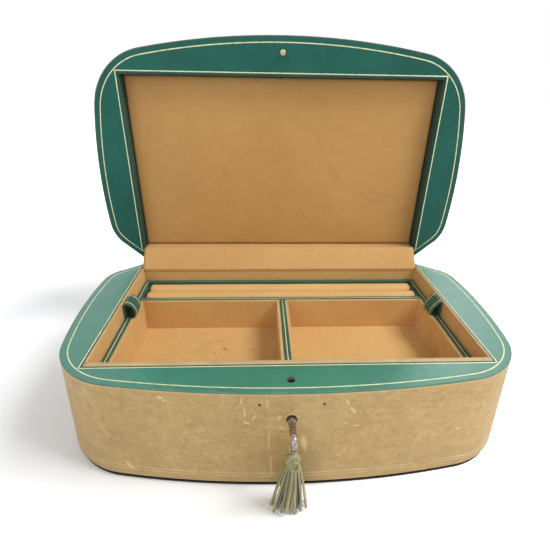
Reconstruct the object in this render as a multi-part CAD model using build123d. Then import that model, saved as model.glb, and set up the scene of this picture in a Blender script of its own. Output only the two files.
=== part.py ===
from build123d import *
import os
from math import atan2, cos, degrees, radians, sin, sqrt

# Leather jewelry box with a lift-out tray, standing on its base with the lid open.
# Millimetres. The origin is on the floor under the middle of the well.
# +X is to the right, +Y is towards the hinge and +Z is up.

# Plan shape, measured on the outside of the leather at the rim
well_width = 294.0
well_depth = 166.0
side_margin = 30.9
widest_y = 19.5
side_radius = 448.0
front_margin = 30.2
front_radius = 716.0
front_corner_radius = 56.0
rear_margin = 11.7
rear_corner_radius = 31.0
rear_end_radius = 8.0
diagonal_angle = 41.8
diagonal_margin = 7.4

# Case
base_height = 85.0
flare = 4.5
bottom_radius = 5.0
base_sheet = 1.2
sheet_inset = 1.6
leather = 1.5
turn_in = 12.0
wall = 5.0
rim_board = 4.0
rim_leather = 1.0
floor_board = 4.0
well_board = 3.0
lining = 2.0
front_lining = 5.2
floor_lining = 1.0
lining_drop = 0.2
rear_lining_drop = 3.4
soft_edge = 0.7

# Lid
lid_gap = 0.3
facing = 1.0
recess_depth = 12.0
pad_thickness = 3.0
pad_crown = 1.5
lid_board = 3.0
lid_crown = 2.6
lid_edge_radius = 5.0
recess_trim = 1.2

# Hinge
hinge_out = 2.6
hinge_inset = 12.0
knuckles = 15
knuckle_radius = 2.1
pin_radius = 1.0
leaf = 1.0
leaf_width = 9.2
screw_radius = 1.0
screw_head_radius = 1.9
screw_length = 7.0
screws = 6
strip_thickness = 1.4
strip_overlap = 11.5
strip_swell = 0.5
strip_bends = [2.4, 12.0, 2.4]
soft_gap = 0.3

# Tray
tray_gap = 0.8
tray_drop = 14.0
tray_wall = 5.5
tray_board = 2.5
lower_room = 27.5
compartment_floor = 2.0
card = 2.7
card_drop = 0.5
divider = 5.4
divider_x = -1.2
partition = 4.6
roll_width = 16.15
ledge_width = 4.5
ledge_depth = 6.0
ledge_length = 140.0
cheek = 1.9
roll_rise = 1.0
cheek_margin = 1.4
roll_gap = 0.3
roll_end_gap = 0.3
roll_rounding = 2.5

# Lift loops
strap = 1.5
strap_width = 18.5
strap_y = 13.2
strap_rise = 15.0
strap_loop = 8.9
strap_leg = 12.0
strap_proud = 0.35
strap_neck = 3.5
strap_bends = [4.3, 4.3, 2.4, 2.4]
slot_play = 0.1
bulge_length = 38.0
bulge_depth = 2.2
bulge_skin = 1.0
bulge_fall = 0.7

# Lock
lock_x = -2.2
lock_drop = 21.0
stud_inset = 13.4
lock_plate_width = 52.0
lock_box_width = 34.0
lock_height = 30.0
lock_box_depth = 12.6
lock_sheet = 1.0
lock_seat_depth = 0.3
lock_pin_spacing = 42.6
lock_pin_drop = 9.3
lock_pin_radius = 1.0
socket_radius = 3.0
eyelet_radius = 5.2
eyelet_flange = 1.0
eyelet_proud = 0.8
eyelet_tube_radius = 4.5
mouth_radius = 3.8
mouth_depth = 2.7
plug_radius = 3.3
running_fit = 0.06
key_turn = 90.0
cam_radius = 6.0
cam_tip_radius = 1.0
cam_thickness = 1.6
cam_gap = 0.8
cam_arm_width = 1.2
bolt_thickness = 1.7
bolt_play = 0.35
bolt_slot = 1.9
bolt_margin = 2.6
prong = 2.0
stud_radius = 1.5
stud_head_radius = 2.4
stud_head = 2.4
stud_root = 8.0

# Key
shank_radius = 1.8
key_play = 0.1
bit_width = 1.2
bit_height = 1.0
bit_inset = 1.0
bit_length = 5.0
collar_radius = 2.95
collar_length = 5.8
turned_radius = 2.3
turned_length = 10.2
bow_radius = 5.6
bow_hole_radius = 3.2
bow_thickness = 3.2
bow_rounding = 1.0

# Tassel
lace = 1.0
lace_width = 2.4
lace_play = 0.35
lace_length = 2.6
eye = 0.7
eye_width = 1.7
eye_play = 0.15
head_length = 13.8
head_neck_radius = 2.6
head_radius = 5.2
head_foot_radius = 4.6
outer_strips = 11
inner_strips = 5
strip_width = 2.1
tassel_leather = 0.9
outer_root_radius = 4.0
inner_root_radius = 2.3
outer_spread = 11.5
inner_spread = 6.5
spread_ratio = 0.6
strip_start_gap = 0.25
tassel_floor_gap = 0.4
tassel_lean = -2.5

# Heights and places that follow from the sizes above
well_half_x = well_width / 2
well_half_y = well_depth / 2
half_width = well_half_x + side_margin
front_y = -well_half_y - front_margin
rear_y = well_half_y + rear_margin
lid_z = base_height + lid_gap
hinge_length = well_width - 2 * hinge_inset
hinge_y = rear_y + hinge_out
hinge_z = base_height + lid_gap / 2
hinge_axis = Axis((0, hinge_y, hinge_z), (1, 0, 0))
leaf_seat = rear_y - leaf_width
floor_z = base_sheet + leather
well_floor_z = floor_z + floor_board
rim_board_z = base_height - rim_leather - rim_board
leather_top = base_height - rim_leather
rear_lining_top = base_height - rear_lining_drop
tray_top = base_height - tray_drop
tray_bottom = well_floor_z + floor_lining + lower_room + lid_gap
lock_z = base_height - lock_drop
stud_y = front_y + stud_inset
lock_front_y = front_y + leather + wall - lock_seat_depth

parts = {}


# Plan outline

def circle_meeting(centre_a, radius_a, centre_b, radius_b, side):
    """The point at given distances from two centres that lies furthest along side."""
    between = centre_b - centre_a
    gap = between.length
    along = (radius_a ** 2 - radius_b ** 2 + gap ** 2) / (2 * gap)
    across = sqrt(radius_a ** 2 - along ** 2)
    unit = between.normalized()
    normal = Vector(-unit.Y, unit.X)
    found = [centre_a + unit * along + normal * across * sign for sign in (1, -1)]
    return max(found, key=lambda point: point.dot(side))


def heading(start, end):
    """Direction from one point to another, in degrees."""
    return degrees(atan2(end.Y - start.Y, end.X - start.X))


front_centre = Vector(0, front_y + front_radius)
side_centre = Vector(half_width - side_radius, widest_y)
corner_centre = circle_meeting(
    front_centre, front_radius - front_corner_radius,
    side_centre, side_radius - front_corner_radius, Vector(1, -1),
)
diagonal_normal = Vector(sin(radians(diagonal_angle)), cos(radians(diagonal_angle)))
diagonal_along = Vector(-diagonal_normal.Y, diagonal_normal.X)
diagonal_point = Vector(well_half_x, well_half_y) + diagonal_normal * diagonal_margin


def rear_corner_centre():
    """Centre of the arc that joins the bowed side to the rear diagonal."""
    base = diagonal_point - diagonal_normal * rear_corner_radius
    offset = base - side_centre
    along = offset.dot(diagonal_along)
    reach = side_radius - rear_corner_radius
    root = sqrt(along ** 2 - offset.length ** 2 + reach ** 2)
    return min(
        (base + diagonal_along * (-along + sign * root) for sign in (1, -1)),
        key=lambda point: abs(point.Y - well_half_y),
    )


def rear_end_centre():
    """Centre of the arc that joins the rear diagonal to the straight rear."""
    base = diagonal_point - diagonal_normal * rear_end_radius
    rise = rear_y - rear_end_radius - base.Y
    return base + diagonal_along * (rise / diagonal_along.Y)


corner_b = rear_corner_centre()
corner_c = rear_end_centre()


def plan_arc(centre, radius, start, end):
    """An arc about a centre between two directions in degrees."""
    directions = (start, (start + end) / 2, end)
    points = [centre + Vector(cos(radians(a)), sin(radians(a))) * radius for a in directions]
    return ThreePointArc(*points)


def outline(offset=0.0, height=0.0):
    """Face of the plan shape, grown outward by an offset, at a height."""
    to_corner = heading(front_centre, corner_centre)
    from_corner = heading(side_centre, corner_centre)
    to_rear = heading(side_centre, corner_b)
    square = 90 - diagonal_angle
    arcs = [
        plan_arc(front_centre, front_radius + offset, -90, to_corner),
        plan_arc(corner_centre, front_corner_radius + offset, to_corner, from_corner),
        plan_arc(side_centre, side_radius + offset, from_corner, to_rear),
        plan_arc(corner_b, rear_corner_radius + offset, to_rear, square),
        plan_arc(corner_c, rear_end_radius + offset, square, 90),
    ]
    diagonal = Line(arcs[3] @ 1, arcs[4] @ 0)
    rear = Line(arcs[4] @ 1, Vector(0, rear_y + offset))
    half = arcs + [diagonal, rear]
    whole = half + [mirror(edge, about=Plane.YZ) for edge in half]
    return Pos(0, 0, height) * make_face(whole)


# Shared shapes

def block(low, high):
    """A box between two corners."""
    size = [b - a for a, b in zip(low, high)]
    middle = [(a + b) / 2 for a, b in zip(low, high)]
    return Pos(*middle) * Box(*size)


def rod(start, end, radius):
    """A round bar between two points."""
    path = Vector(*end) - Vector(*start)
    plane = Plane(origin=start, z_dir=path)
    return plane * Cylinder(radius, path.length, align=(Align.CENTER, Align.CENTER, Align.MIN))


def flare_at(height):
    """How far the case stands out at a height, against its rim."""
    return flare * (base_height - height) / base_height


def flared(low, high, inset, rounding=0.0):
    """The outer shape of the case between two heights, drawn in by an inset."""
    faces = [outline(flare_at(z) - inset, z) for z in (low, high)]
    body = loft(faces, ruled=True)
    if rounding:
        body = fillet(body.edges().group_by(Axis.Z)[0], rounding)
    return body


def prism(low, high, inset):
    """The straight plan shape between two heights, drawn in by an inset."""
    return extrude(outline(-inset, low), high - low)


def well_box(low, high, grow=0.0):
    """The rectangular well between two heights."""
    half_x = well_half_x + grow
    half_y = well_half_y + grow
    return block((-half_x, -half_y, low), (half_x, half_y, high))


def crowned(bottom, top, radius):
    """A ball whose top touches a height, cut off far below: a very flat crown."""
    ball = Pos(0, 0, top - radius) * Sphere(radius)
    span = 3 * half_width
    return ball & block((-span, -span, bottom), (span, span, top + 1))


def opened(shape):
    """Turn a shape of the closed lid a quarter turn, to the open lid."""
    return shape.rotate(hinge_axis, -90)


# Lock, key and stud places that several pieces share

face_at_lock = front_y - flare_at(lock_z)
lock_top = rim_board_z
lock_inner_top = lock_top - lock_sheet
bolt_top = lock_inner_top - bolt_play
bolt_bottom = bolt_top - bolt_thickness
stud_tip = bolt_bottom - bolt_play - stud_head
bolt_travel = 2 * cam_radius * sin(radians(key_turn / 2))
cam_y = lock_front_y + lock_sheet + cam_gap
lock_rear_y = lock_front_y + lock_box_depth
mouth_y = face_at_lock - eyelet_proud
plug_front_y = mouth_y + mouth_depth


def lock_pins(extra=0.0):
    """Two pins that hold the lock to the front wall."""
    height = base_height - lock_pin_drop
    head_y = front_y - flare_at(height) + 0.2
    pins = [
        rod((lock_x + side * lock_pin_spacing / 2, head_y, height),
            (lock_x + side * lock_pin_spacing / 2, lock_front_y + lock_sheet, height),
            lock_pin_radius + extra)
        for side in (-1, 1)
    ]
    return pins


def eyelet_blank():
    """The keyhole eyelet before it is bored."""
    flange = rod((lock_x, mouth_y, lock_z), (lock_x, mouth_y + eyelet_flange, lock_z), eyelet_radius)
    tube = rod((lock_x, mouth_y, lock_z), (lock_x, lock_front_y - 0.2, lock_z), eyelet_tube_radius)
    return fillet(flange.edges().group_by(Axis.Y)[0], 0.4) + tube


def socket_hole(low, high):
    """The hole that the lid's stud goes into."""
    return rod((lock_x, stud_y, low), (lock_x, stud_y, high), socket_radius)


# Hinge

def knuckle_span(index):
    """Start and end of one knuckle along the hinge."""
    length = hinge_length / knuckles
    start = -hinge_length / 2 + index * length
    return start + lid_gap / 2, start + length - lid_gap / 2


def hinge_leaf(low, high, first, bore):
    """A leaf plate between two heights with every second knuckle on it."""
    plate = block((-hinge_length / 2, leaf_seat, low), (hinge_length / 2, hinge_y, high))
    for index in range(knuckles):
        start, end = knuckle_span(index)
        clear = knuckle_radius + lid_gap
        if index % 2 == first:
            plate += rod((start, hinge_y, hinge_z), (end, hinge_y, hinge_z), knuckle_radius)
        else:
            plate -= block((start - lid_gap, hinge_y - clear, hinge_z - clear),
                           (end + lid_gap, hinge_y + clear, hinge_z + clear))
    return plate - rod((-hinge_length, hinge_y, hinge_z), (hinge_length, hinge_y, hinge_z), bore)


def hinge_screws(plate_face, direction):
    """Countersunk screws through a leaf, down or up from its free face."""
    found = []
    for index in range(screws):
        x = (index - (screws - 1) / 2) * hinge_length / screws
        y = (leaf_seat + rear_y) / 2
        head = Pos(x, y, plate_face) * Rot(0 if direction > 0 else 180, 0, 0) * Cone(
            screw_head_radius, screw_radius, leaf, align=(Align.CENTER, Align.CENTER, Align.MIN))
        shank = rod((x, y, plate_face), (x, y, plate_face + direction * screw_length), screw_radius)
        found.append(head + shank)
    return found


case_screws = hinge_screws(base_height, -1)
lid_screws = hinge_screws(lid_z, 1)
half_hinge = hinge_length / 2
leaf_pocket_low = block((-half_hinge, leaf_seat, base_height - leaf), (half_hinge, hinge_y, base_height))
leaf_pocket_high = block((-half_hinge, leaf_seat, lid_z), (half_hinge, hinge_y, lid_z + leaf))


def cut(shape, tools):
    """Take a list of solids out of a shape."""
    for tool in tools:
        shape -= tool
    return shape


def make_hinge():
    """Two leaves, their pin and their screws."""
    lower = hinge_leaf(base_height - leaf, base_height, 0, pin_radius)
    upper = hinge_leaf(lid_z, lid_z + leaf, 1, pin_radius + running_fit)
    half = hinge_length / 2 + 0.5
    parts["hinge_leaf_case"] = cut(lower, case_screws)
    parts["hinge_leaf_lid"] = opened(cut(upper, lid_screws))
    parts["hinge_pin"] = rod((-half, hinge_y, hinge_z), (half, hinge_y, hinge_z), pin_radius)
    parts["hinge_screws_case"] = Compound(children=case_screws)
    parts["hinge_screws_lid"] = opened(Compound(children=lid_screws))


def make_hinge_strip():
    """The leather strip inside, from the rear of the well over the hinge into the lid."""
    away = strip_thickness / 2 + soft_gap
    shelf_z = hinge_z + hinge_y - well_half_y
    face_y = hinge_y + lid_gap / 2
    slant = away * sqrt(2)
    middle_y = (well_half_y + face_y - slant) / 2 - strip_swell
    middle_z = (base_height + shelf_z + slant) / 2 + strip_swell
    rise_y = well_half_y - away
    shelf_path_z = shelf_z + away
    centre = [
        (rise_y, rear_lining_top + soft_gap),
        (rise_y, base_height + slant - away),
        (middle_y, middle_z),
        (face_y - slant + away, shelf_path_z),
        (face_y + strip_overlap, shelf_path_z),
    ]
    path = FilletPolyline(*[(0, y, z) for y, z in centre], radius=strip_bends)
    section = Plane(origin=path @ 0, x_dir=(1, 0, 0), z_dir=path % 0)
    profile = section * Rectangle(well_width - 2 * (recess_trim + soft_gap), strip_thickness)
    parts["hinge_strip"] = sweep(profile, path=path)


# Case

def make_case():
    """Wooden case with its leather cover, rim and well."""
    wall_shape = flared(floor_z, rim_board_z, leather, bottom_radius - leather)
    hollow = flared(floor_z - 1, rim_board_z + 1, leather + wall)
    holes = lock_pins() + [eyelet_blank()]
    plate_half = lock_plate_width / 2 + slot_play
    seat = block((lock_x - plate_half, lock_front_y - slot_play, lock_top - lock_height - slot_play),
                 (lock_x + plate_half, lock_front_y + wall, lock_top + 1))
    outer_wall = cut(wall_shape - hollow, holes + case_screws + [seat])
    parts["outer_wall"] = outer_wall

    skin = flared(base_sheet, leather_top, 0, bottom_radius)
    core = flared(floor_z, leather_top + 1, leather, bottom_radius - leather)
    window = flared(base_sheet - 1, floor_z + 1, turn_in)
    parts["case_leather"] = cut(skin - core - window, holes)

    sheet_edge = flare - sheet_inset
    sheet = extrude(outline(sheet_edge, 0), base_sheet)
    filler = flared(base_sheet, floor_z, turn_in + 0.1)
    parts["bottom_cover"] = sheet + filler

    parts["floor_board"] = flared(floor_z, well_floor_z, leather + wall + 0.05)
    board = prism(rim_board_z, leather_top, leather) - well_box(rim_board_z - 1, leather_top + 1)
    board -= socket_hole(rim_board_z - 1, leather_top + 1)
    parts["rim_board"] = cut(board, case_screws)

    rim = prism(leather_top, base_height, 0)
    rim = fillet(rim.edges().group_by(Axis.Z)[-1], soft_edge)
    rim -= well_box(leather_top - 1, base_height + 1)
    rim -= socket_hole(leather_top - 1, base_height + 1)
    parts["rim_leather"] = rim - leaf_pocket_low

    well = well_box(well_floor_z, rim_board_z, well_board) - well_box(well_floor_z - 1, rim_board_z + 1)
    parts["well_frame"] = well & flared(well_floor_z, rim_board_z, leather + wall + 0.05)


def lining_board(low, high):
    """One lining panel with its top edges softened."""
    panel = block(low, high)
    return fillet(panel.edges().group_by(Axis.Z)[-1], soft_edge)


def make_linings():
    """Leather-covered cards that line the well, and the ledges that carry the tray."""
    top = base_height - lining_drop
    low = well_floor_z + floor_lining
    front = -well_half_y + front_lining
    rear = well_half_y - lining
    parts["lining_front"] = lining_board((-well_half_x, -well_half_y, low), (well_half_x, front, top))
    parts["lining_rear"] = lining_board(
        (-well_half_x, rear, low), (well_half_x, well_half_y, rear_lining_top))
    parts["lining_floor"] = block(
        (-well_half_x, -well_half_y, well_floor_z), (well_half_x, well_half_y, low))
    for name, side in (("left", -1), ("right", 1)):
        inner = side * (well_half_x - lining)
        outer = side * well_half_x
        parts[f"lining_{name}"] = lining_board(
            (min(inner, outer), front, low), (max(inner, outer), rear, top))
        edge = side * (well_half_x - lining - ledge_width)
        ledge = block((min(inner, edge), -ledge_length / 2, tray_bottom - lid_gap - ledge_depth),
                      (max(inner, edge), ledge_length / 2, tray_bottom - lid_gap))
        parts[f"tray_ledge_{name}"] = ledge


# Lid, modelled shut and then turned open

def make_lid():
    """Wooden lid with its leather cover, green facing, recess and pad."""
    board_z = lid_z + recess_depth + pad_thickness
    top = board_z + lid_board
    low = lid_z + facing
    stud_hole = rod((lock_x, stud_y, lid_z - 1), (lock_x, stud_y, lid_z + stud_root), stud_radius)

    def shell(inset, height, rounding):
        """The lid's outer shape, crowned and rounded, up to a height at its middle."""
        body = prism(low, height + 5, inset) & crowned(low - 1, height, crown_radius)
        top_face = body.faces().filter_by(GeomType.SPHERE)[0]
        return fillet(top_face.edges(), rounding)

    crown_radius = half_width ** 2 / (2 * lid_crown)
    outer = shell(0, top + leather + lid_crown, lid_edge_radius)
    inner = shell(leather, top + lid_crown, lid_edge_radius - leather)
    parts["lid_leather"] = opened(outer - inner)
    span = 2 * half_width
    frame = inner & block((-span, -span, low), (span, span, board_z))
    frame = frame - well_box(low - 1, board_z + 1) - stud_hole
    parts["lid_frame"] = opened(cut(frame, lid_screws))
    parts["lid_board"] = opened(inner & block((-span, -span, board_z), (span, span, top + span)))

    ring = prism(lid_z, low, 0)
    ring = fillet(ring.edges().group_by(Axis.Z)[0], soft_edge)
    ring = ring - well_box(lid_z - 1, low + 1) - stud_hole
    parts["lid_facing"] = opened(ring - leaf_pocket_high)

    trim = well_box(low, board_z) - block(
        (-well_half_x + recess_trim, -well_half_y + recess_trim, low - 1),
        (well_half_x - recess_trim, well_half_y + 1, board_z + 1))
    parts["lid_recess_trim"] = opened(trim)

    edge = well_half_x - recess_trim - soft_gap
    pad_face = lid_z + recess_depth - pad_crown
    pad = block((-edge, -well_half_y + recess_trim + soft_gap, pad_face),
                (edge, well_half_y - strip_thickness - 3 * soft_gap, board_z))
    dome_radius = edge ** 2 / (2 * pad_crown)
    parts["lid_pad"] = opened(pad & Pos(0, 0, pad_face + dome_radius) * Sphere(dome_radius))

    stud = rod((lock_x, stud_y, stud_tip), (lock_x, stud_y, stud_tip + stud_head), stud_head_radius)
    stud = fillet(stud.edges().group_by(Axis.Z)[0], 0.8)
    stud += rod((lock_x, stud_y, stud_tip), (lock_x, stud_y, lid_z + stud_root), stud_radius)
    parts["catch_stud"] = opened(stud)


# Lift-out tray

tray_x = well_half_x - lining - tray_gap
tray_front = -well_half_y + front_lining + tray_gap
tray_rear = well_half_y - lining - tray_gap
tray_floor_z = tray_bottom + tray_board
inner_x = tray_x - tray_wall
inner_front = tray_front + tray_wall
inner_rear = tray_rear - tray_wall
partition_rear = inner_rear - 2 * roll_width - 3 * roll_gap
partition_y = partition_rear - partition


def strap_legs(side):
    """Middle of the outer and inner legs of a lift loop, across the tray."""
    outer = tray_x + strap_proud - strap / 2
    return side * outer, side * (inner_x - strap / 2)


def leg_slots(side):
    """Slots for the two legs of a lift loop."""
    play = strap / 2 + slot_play
    half = strap_width / 2 + slot_play
    foot = tray_top - strap_leg - slot_play
    return [
        block((x - play, strap_y - half, foot), (x + play, strap_y + half, tray_top + 1))
        for x in strap_legs(side)
    ]


def lift_loop(side):
    """A leather strap that arches over the tray's side wall, swung out above its inner leg."""
    outer, inner = strap_legs(side)
    swung = outer - side * strap_loop
    top = tray_top + strap_rise - strap / 2
    foot = tray_top - strap_leg
    centre = [(outer, foot), (outer, top), (swung, top), (swung, tray_top + strap_neck), (inner, tray_top),
              (inner, foot)]
    path = FilletPolyline(*[(x, strap_y, z) for x, z in centre], radius=strap_bends)
    section = Plane(origin=(outer, strap_y, foot), x_dir=(1, 0, 0), z_dir=(0, 0, 1))
    return sweep(section * Rectangle(strap, strap_width), path=path)


def bulge(side, top):
    """Swelling of the side card where it covers the inner leg of a lift loop."""
    face = side * (inner_x - card)
    tip = side * (inner_x - card - bulge_depth)
    half = bulge_length / 2
    shoulder = strap_width / 2 + bulge_skin
    middle_x = side * (inner_x - card - bulge_depth + bulge_fall)
    edges = [
        Spline((face, strap_y - half), (middle_x, strap_y - shoulder), (tip, strap_y),
               (middle_x, strap_y + shoulder), (face, strap_y + half),
               tangents=((0, 1), (0, 1))),
        Line((face, strap_y + half), (side * inner_x, strap_y + half)),
        Line((side * inner_x, strap_y + half), (side * inner_x, strap_y - half)),
        Line((side * inner_x, strap_y - half), (face, strap_y - half)),
    ]
    return extrude(Pos(0, 0, tray_floor_z) * make_face(edges), top - tray_floor_z)


def compartment(side):
    """Card and leather lining of one compartment, an open box."""
    wall_x = side * inner_x
    divider_face = divider_x + side * divider / 2
    low_x, high_x = sorted((wall_x, divider_face))
    top = tray_top - card_drop
    box = block((low_x, inner_front, tray_floor_z), (high_x, partition_y, top))
    box -= block((low_x + card, inner_front + card, tray_floor_z + compartment_floor),
                 (high_x - card, partition_y - card, top + 1))
    return cut(box + bulge(side, top), leg_slots(side))


def ring_roll(middle):
    """One padded roll of the ring section, rounded on top and at its ends."""
    radius = roll_width / 2
    half = inner_x - cheek - roll_end_gap
    top = tray_top + roll_rise
    low = tray_floor_z + compartment_floor
    body = block((-half, middle - radius, low), (half, middle + radius, top - radius))
    body += rod((-half, middle, top - radius), (half, middle, top - radius), radius)
    ends = body.faces().sort_by(Axis.X)
    rims = [
        edge for face in (ends[0], ends[-1]) for edge in face.edges()
        if edge.geom_type == GeomType.CIRCLE
    ]
    return fillet(rims, roll_rounding)


def cheeks():
    """End pieces of the ring section, scalloped to the rolls."""
    radius = roll_width / 2 - cheek_margin
    middle_z = tray_top + roll_rise - roll_width / 2
    found = []
    for side in (-1, 1):
        low_x, high_x = sorted((side * inner_x, side * (inner_x - cheek)))
        body = block((low_x, partition_rear, tray_floor_z), (high_x, inner_rear, middle_z))
        for middle in roll_middles:
            body += rod((low_x, middle, middle_z), (high_x, middle, middle_z), radius)
        found.append(body)
    return found


roll_middles = [
    partition_rear + roll_gap + roll_width / 2,
    inner_rear - roll_gap - roll_width / 2,
]


def make_tray():
    """The tray: frame, floor, dividers, compartment linings, ring section and lift loops."""
    frame = block((-tray_x, tray_front, tray_floor_z), (tray_x, tray_rear, tray_top))
    frame = fillet(frame.edges().filter_by(Axis.Z), 2.0)
    frame = fillet(frame.edges().group_by(Axis.Z)[-1], soft_edge)
    frame -= block((-inner_x, inner_front, tray_floor_z - 1), (inner_x, inner_rear, tray_top + 1))
    parts["tray_frame"] = cut(frame, leg_slots(-1) + leg_slots(1))
    board = block((-tray_x, tray_front, tray_bottom), (tray_x, tray_rear, tray_floor_z))
    parts["tray_floor"] = fillet(board.edges().filter_by(Axis.Z), 2.0)
    parts["cross_partition"] = block(
        (-inner_x, partition_y, tray_floor_z), (inner_x, partition_rear, tray_top))
    parts["center_divider"] = block(
        (divider_x - divider / 2, inner_front, tray_floor_z),
        (divider_x + divider / 2, partition_y, tray_top))
    for name, side in (("left", -1), ("right", 1)):
        parts[f"compartment_{name}"] = compartment(side)
        parts[f"lift_loop_{name}"] = lift_loop(side)
    parts["ring_roll_front"] = ring_roll(roll_middles[0])
    parts["ring_roll_rear"] = ring_roll(roll_middles[1])
    parts["ring_section_cheeks"] = Compound(children=cheeks())
    parts["ring_section_floor"] = block(
        (-inner_x + cheek, partition_rear, tray_floor_z),
        (inner_x - cheek, inner_rear, tray_floor_z + compartment_floor))


# Lock

def cam_tip(angle):
    """Place of the cam's tip when the key has turned to an angle from upright."""
    return lock_x + cam_radius * sin(radians(angle)), lock_z + cam_radius * cos(radians(angle))


def make_lock():
    """Lock case behind the front wall, keyhole eyelet, turning plug and sliding bolt."""
    low = lock_top - lock_height
    plate = block((lock_x - lock_plate_width / 2, lock_front_y, low),
                  (lock_x + lock_plate_width / 2, lock_front_y + lock_sheet, lock_top))
    half = lock_box_width / 2
    box = block((lock_x - half, lock_front_y, low), (lock_x + half, lock_rear_y, lock_top))
    box -= block((lock_x - half + lock_sheet, lock_front_y + lock_sheet, low + lock_sheet),
                 (lock_x + half - lock_sheet, lock_rear_y - lock_sheet, lock_inner_top))
    case = plate + box - socket_hole(lock_inner_top - 1, lock_top + 1)
    plug_hole = rod((lock_x, lock_front_y - 1, lock_z), (lock_x, lock_front_y + lock_sheet + 0.1, lock_z),
                    plug_radius + running_fit)
    parts["lock_case"] = cut(case - plug_hole, lock_pins())
    parts["lock_pins"] = Compound(children=lock_pins())

    eyelet = eyelet_blank()
    eyelet -= rod((lock_x, mouth_y - 1, lock_z), (lock_x, plug_front_y - 0.2, lock_z), mouth_radius)
    eyelet -= rod((lock_x, mouth_y, lock_z), (lock_x, lock_front_y, lock_z), plug_radius + running_fit)
    parts["keyhole_eyelet"] = eyelet

    plug = rod((lock_x, plug_front_y, lock_z), (lock_x, cam_y + cam_thickness, lock_z), plug_radius)
    tip_x, tip_z = cam_tip(-key_turn / 2)
    arm = rod((tip_x, cam_y, tip_z), (tip_x, cam_y + cam_thickness, tip_z), cam_tip_radius)
    lever = Pos(0, 0, cam_radius / 2) * Box(cam_arm_width, cam_thickness, cam_radius)
    lever = Pos(lock_x, cam_y + cam_thickness / 2, lock_z) * Rot(0, -key_turn / 2, 0) * lever
    plug += arm + lever
    plug_end = cam_y + cam_thickness + 1
    way = bit_width / 2 + key_play
    way_low = lock_z - shank_radius - bit_height - key_play
    plug -= rod((lock_x, plug_front_y - 1, lock_z), (lock_x, plug_end, lock_z), shank_radius + key_play)
    plug -= block((lock_x - way, plug_front_y - 1, way_low), (lock_x + way, plug_end, lock_z))
    parts["lock_plug"] = plug

    slot_x = lock_x - bolt_travel
    low, high = bolt_bottom - 1, bolt_top + 1
    bolt = block((slot_x - bolt_slot - bolt_margin, lock_front_y + lock_sheet + bolt_play, bolt_bottom),
                 (lock_x + socket_radius + bolt_margin, lock_rear_y - lock_sheet - bolt_play, bolt_top))
    bolt -= rod((lock_x, stud_y, low), (lock_x, stud_y, high), socket_radius + slot_play)
    bolt -= block((slot_x, stud_y - bolt_slot, low), (lock_x, stud_y + bolt_slot, high))
    bolt -= rod((slot_x, stud_y, low), (slot_x, stud_y, high), bolt_slot)
    notch = cam_tip_radius + bolt_play
    prong_low = tip_z - 0.1
    for side in (-1, 1):
        edges = sorted((tip_x + side * notch, tip_x + side * (notch + prong)))
        bolt += block((edges[0], cam_y, prong_low), (edges[1], cam_y + cam_thickness, bolt_bottom))
    parts["lock_bolt"] = bolt


# Key and tassel

collar_front_y = plug_front_y - lid_gap
turned_y = collar_front_y - collar_length
bow_y = turned_y - turned_length - bow_radius + 0.9
bar_z = lock_z - (bow_radius + bow_hole_radius) / 2


def turned_profile():
    """Half outline of the key's round part, from its tip to the bow, along -Y."""
    tip_y = cam_y + 0.2
    ring = 0.5
    points = [(0, tip_y), (shank_radius - 0.4, tip_y), (shank_radius, tip_y - 0.4),
              (shank_radius, collar_front_y), (collar_radius, collar_front_y)]
    step = collar_length / 3
    for index in range(3):
        y = collar_front_y - index * step
        points += [(collar_radius, y - step + ring), (collar_radius - ring, y - step + ring),
                   (collar_radius - ring, y - step)]
        if index < 2:
            points.append((collar_radius, y - step))
    pitch = turned_length / 4
    for index in range(4):
        y = turned_y - index * pitch
        points += [(turned_radius, y), (turned_radius, y - pitch + ring),
                   (turned_radius - ring, y - pitch + ring), (turned_radius - ring, y - pitch)]
    points += [(0, turned_y - turned_length)]
    return points


def make_key():
    """Key with its collar, turned shank, bit and ring bow."""
    face = make_face(Polyline(*[(x, y) for x, y in turned_profile()], close=True))
    body = Pos(lock_x, 0, lock_z) * revolve(face, Axis.Y)
    bit_y = plug_front_y + bit_inset
    body += block((lock_x - bit_width / 2, bit_y, lock_z - shank_radius - bit_height),
                  (lock_x + bit_width / 2, bit_y + bit_length, lock_z))
    half = bow_thickness / 2
    bow = rod((lock_x - half, bow_y, lock_z), (lock_x + half, bow_y, lock_z), bow_radius)
    bow -= rod((lock_x - half, bow_y, lock_z), (lock_x + half, bow_y, lock_z), bow_hole_radius)
    bow = fillet(bow.edges().filter_by(GeomType.CIRCLE), bow_rounding)
    parts["key"] = body + bow


loop_inner = sqrt((bow_thickness / 2) ** 2 + ((bow_radius - bow_hole_radius) / 2) ** 2) - 0.4 + lace_play
loop_foot_z = bar_z - lace_length
swing_z = loop_foot_z - loop_inner - lace / 2
eye_inner = sqrt(lace ** 2 + lace_width ** 2) / 2 + eye_play
head_top = swing_z - eye_inner - eye / 2


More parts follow.
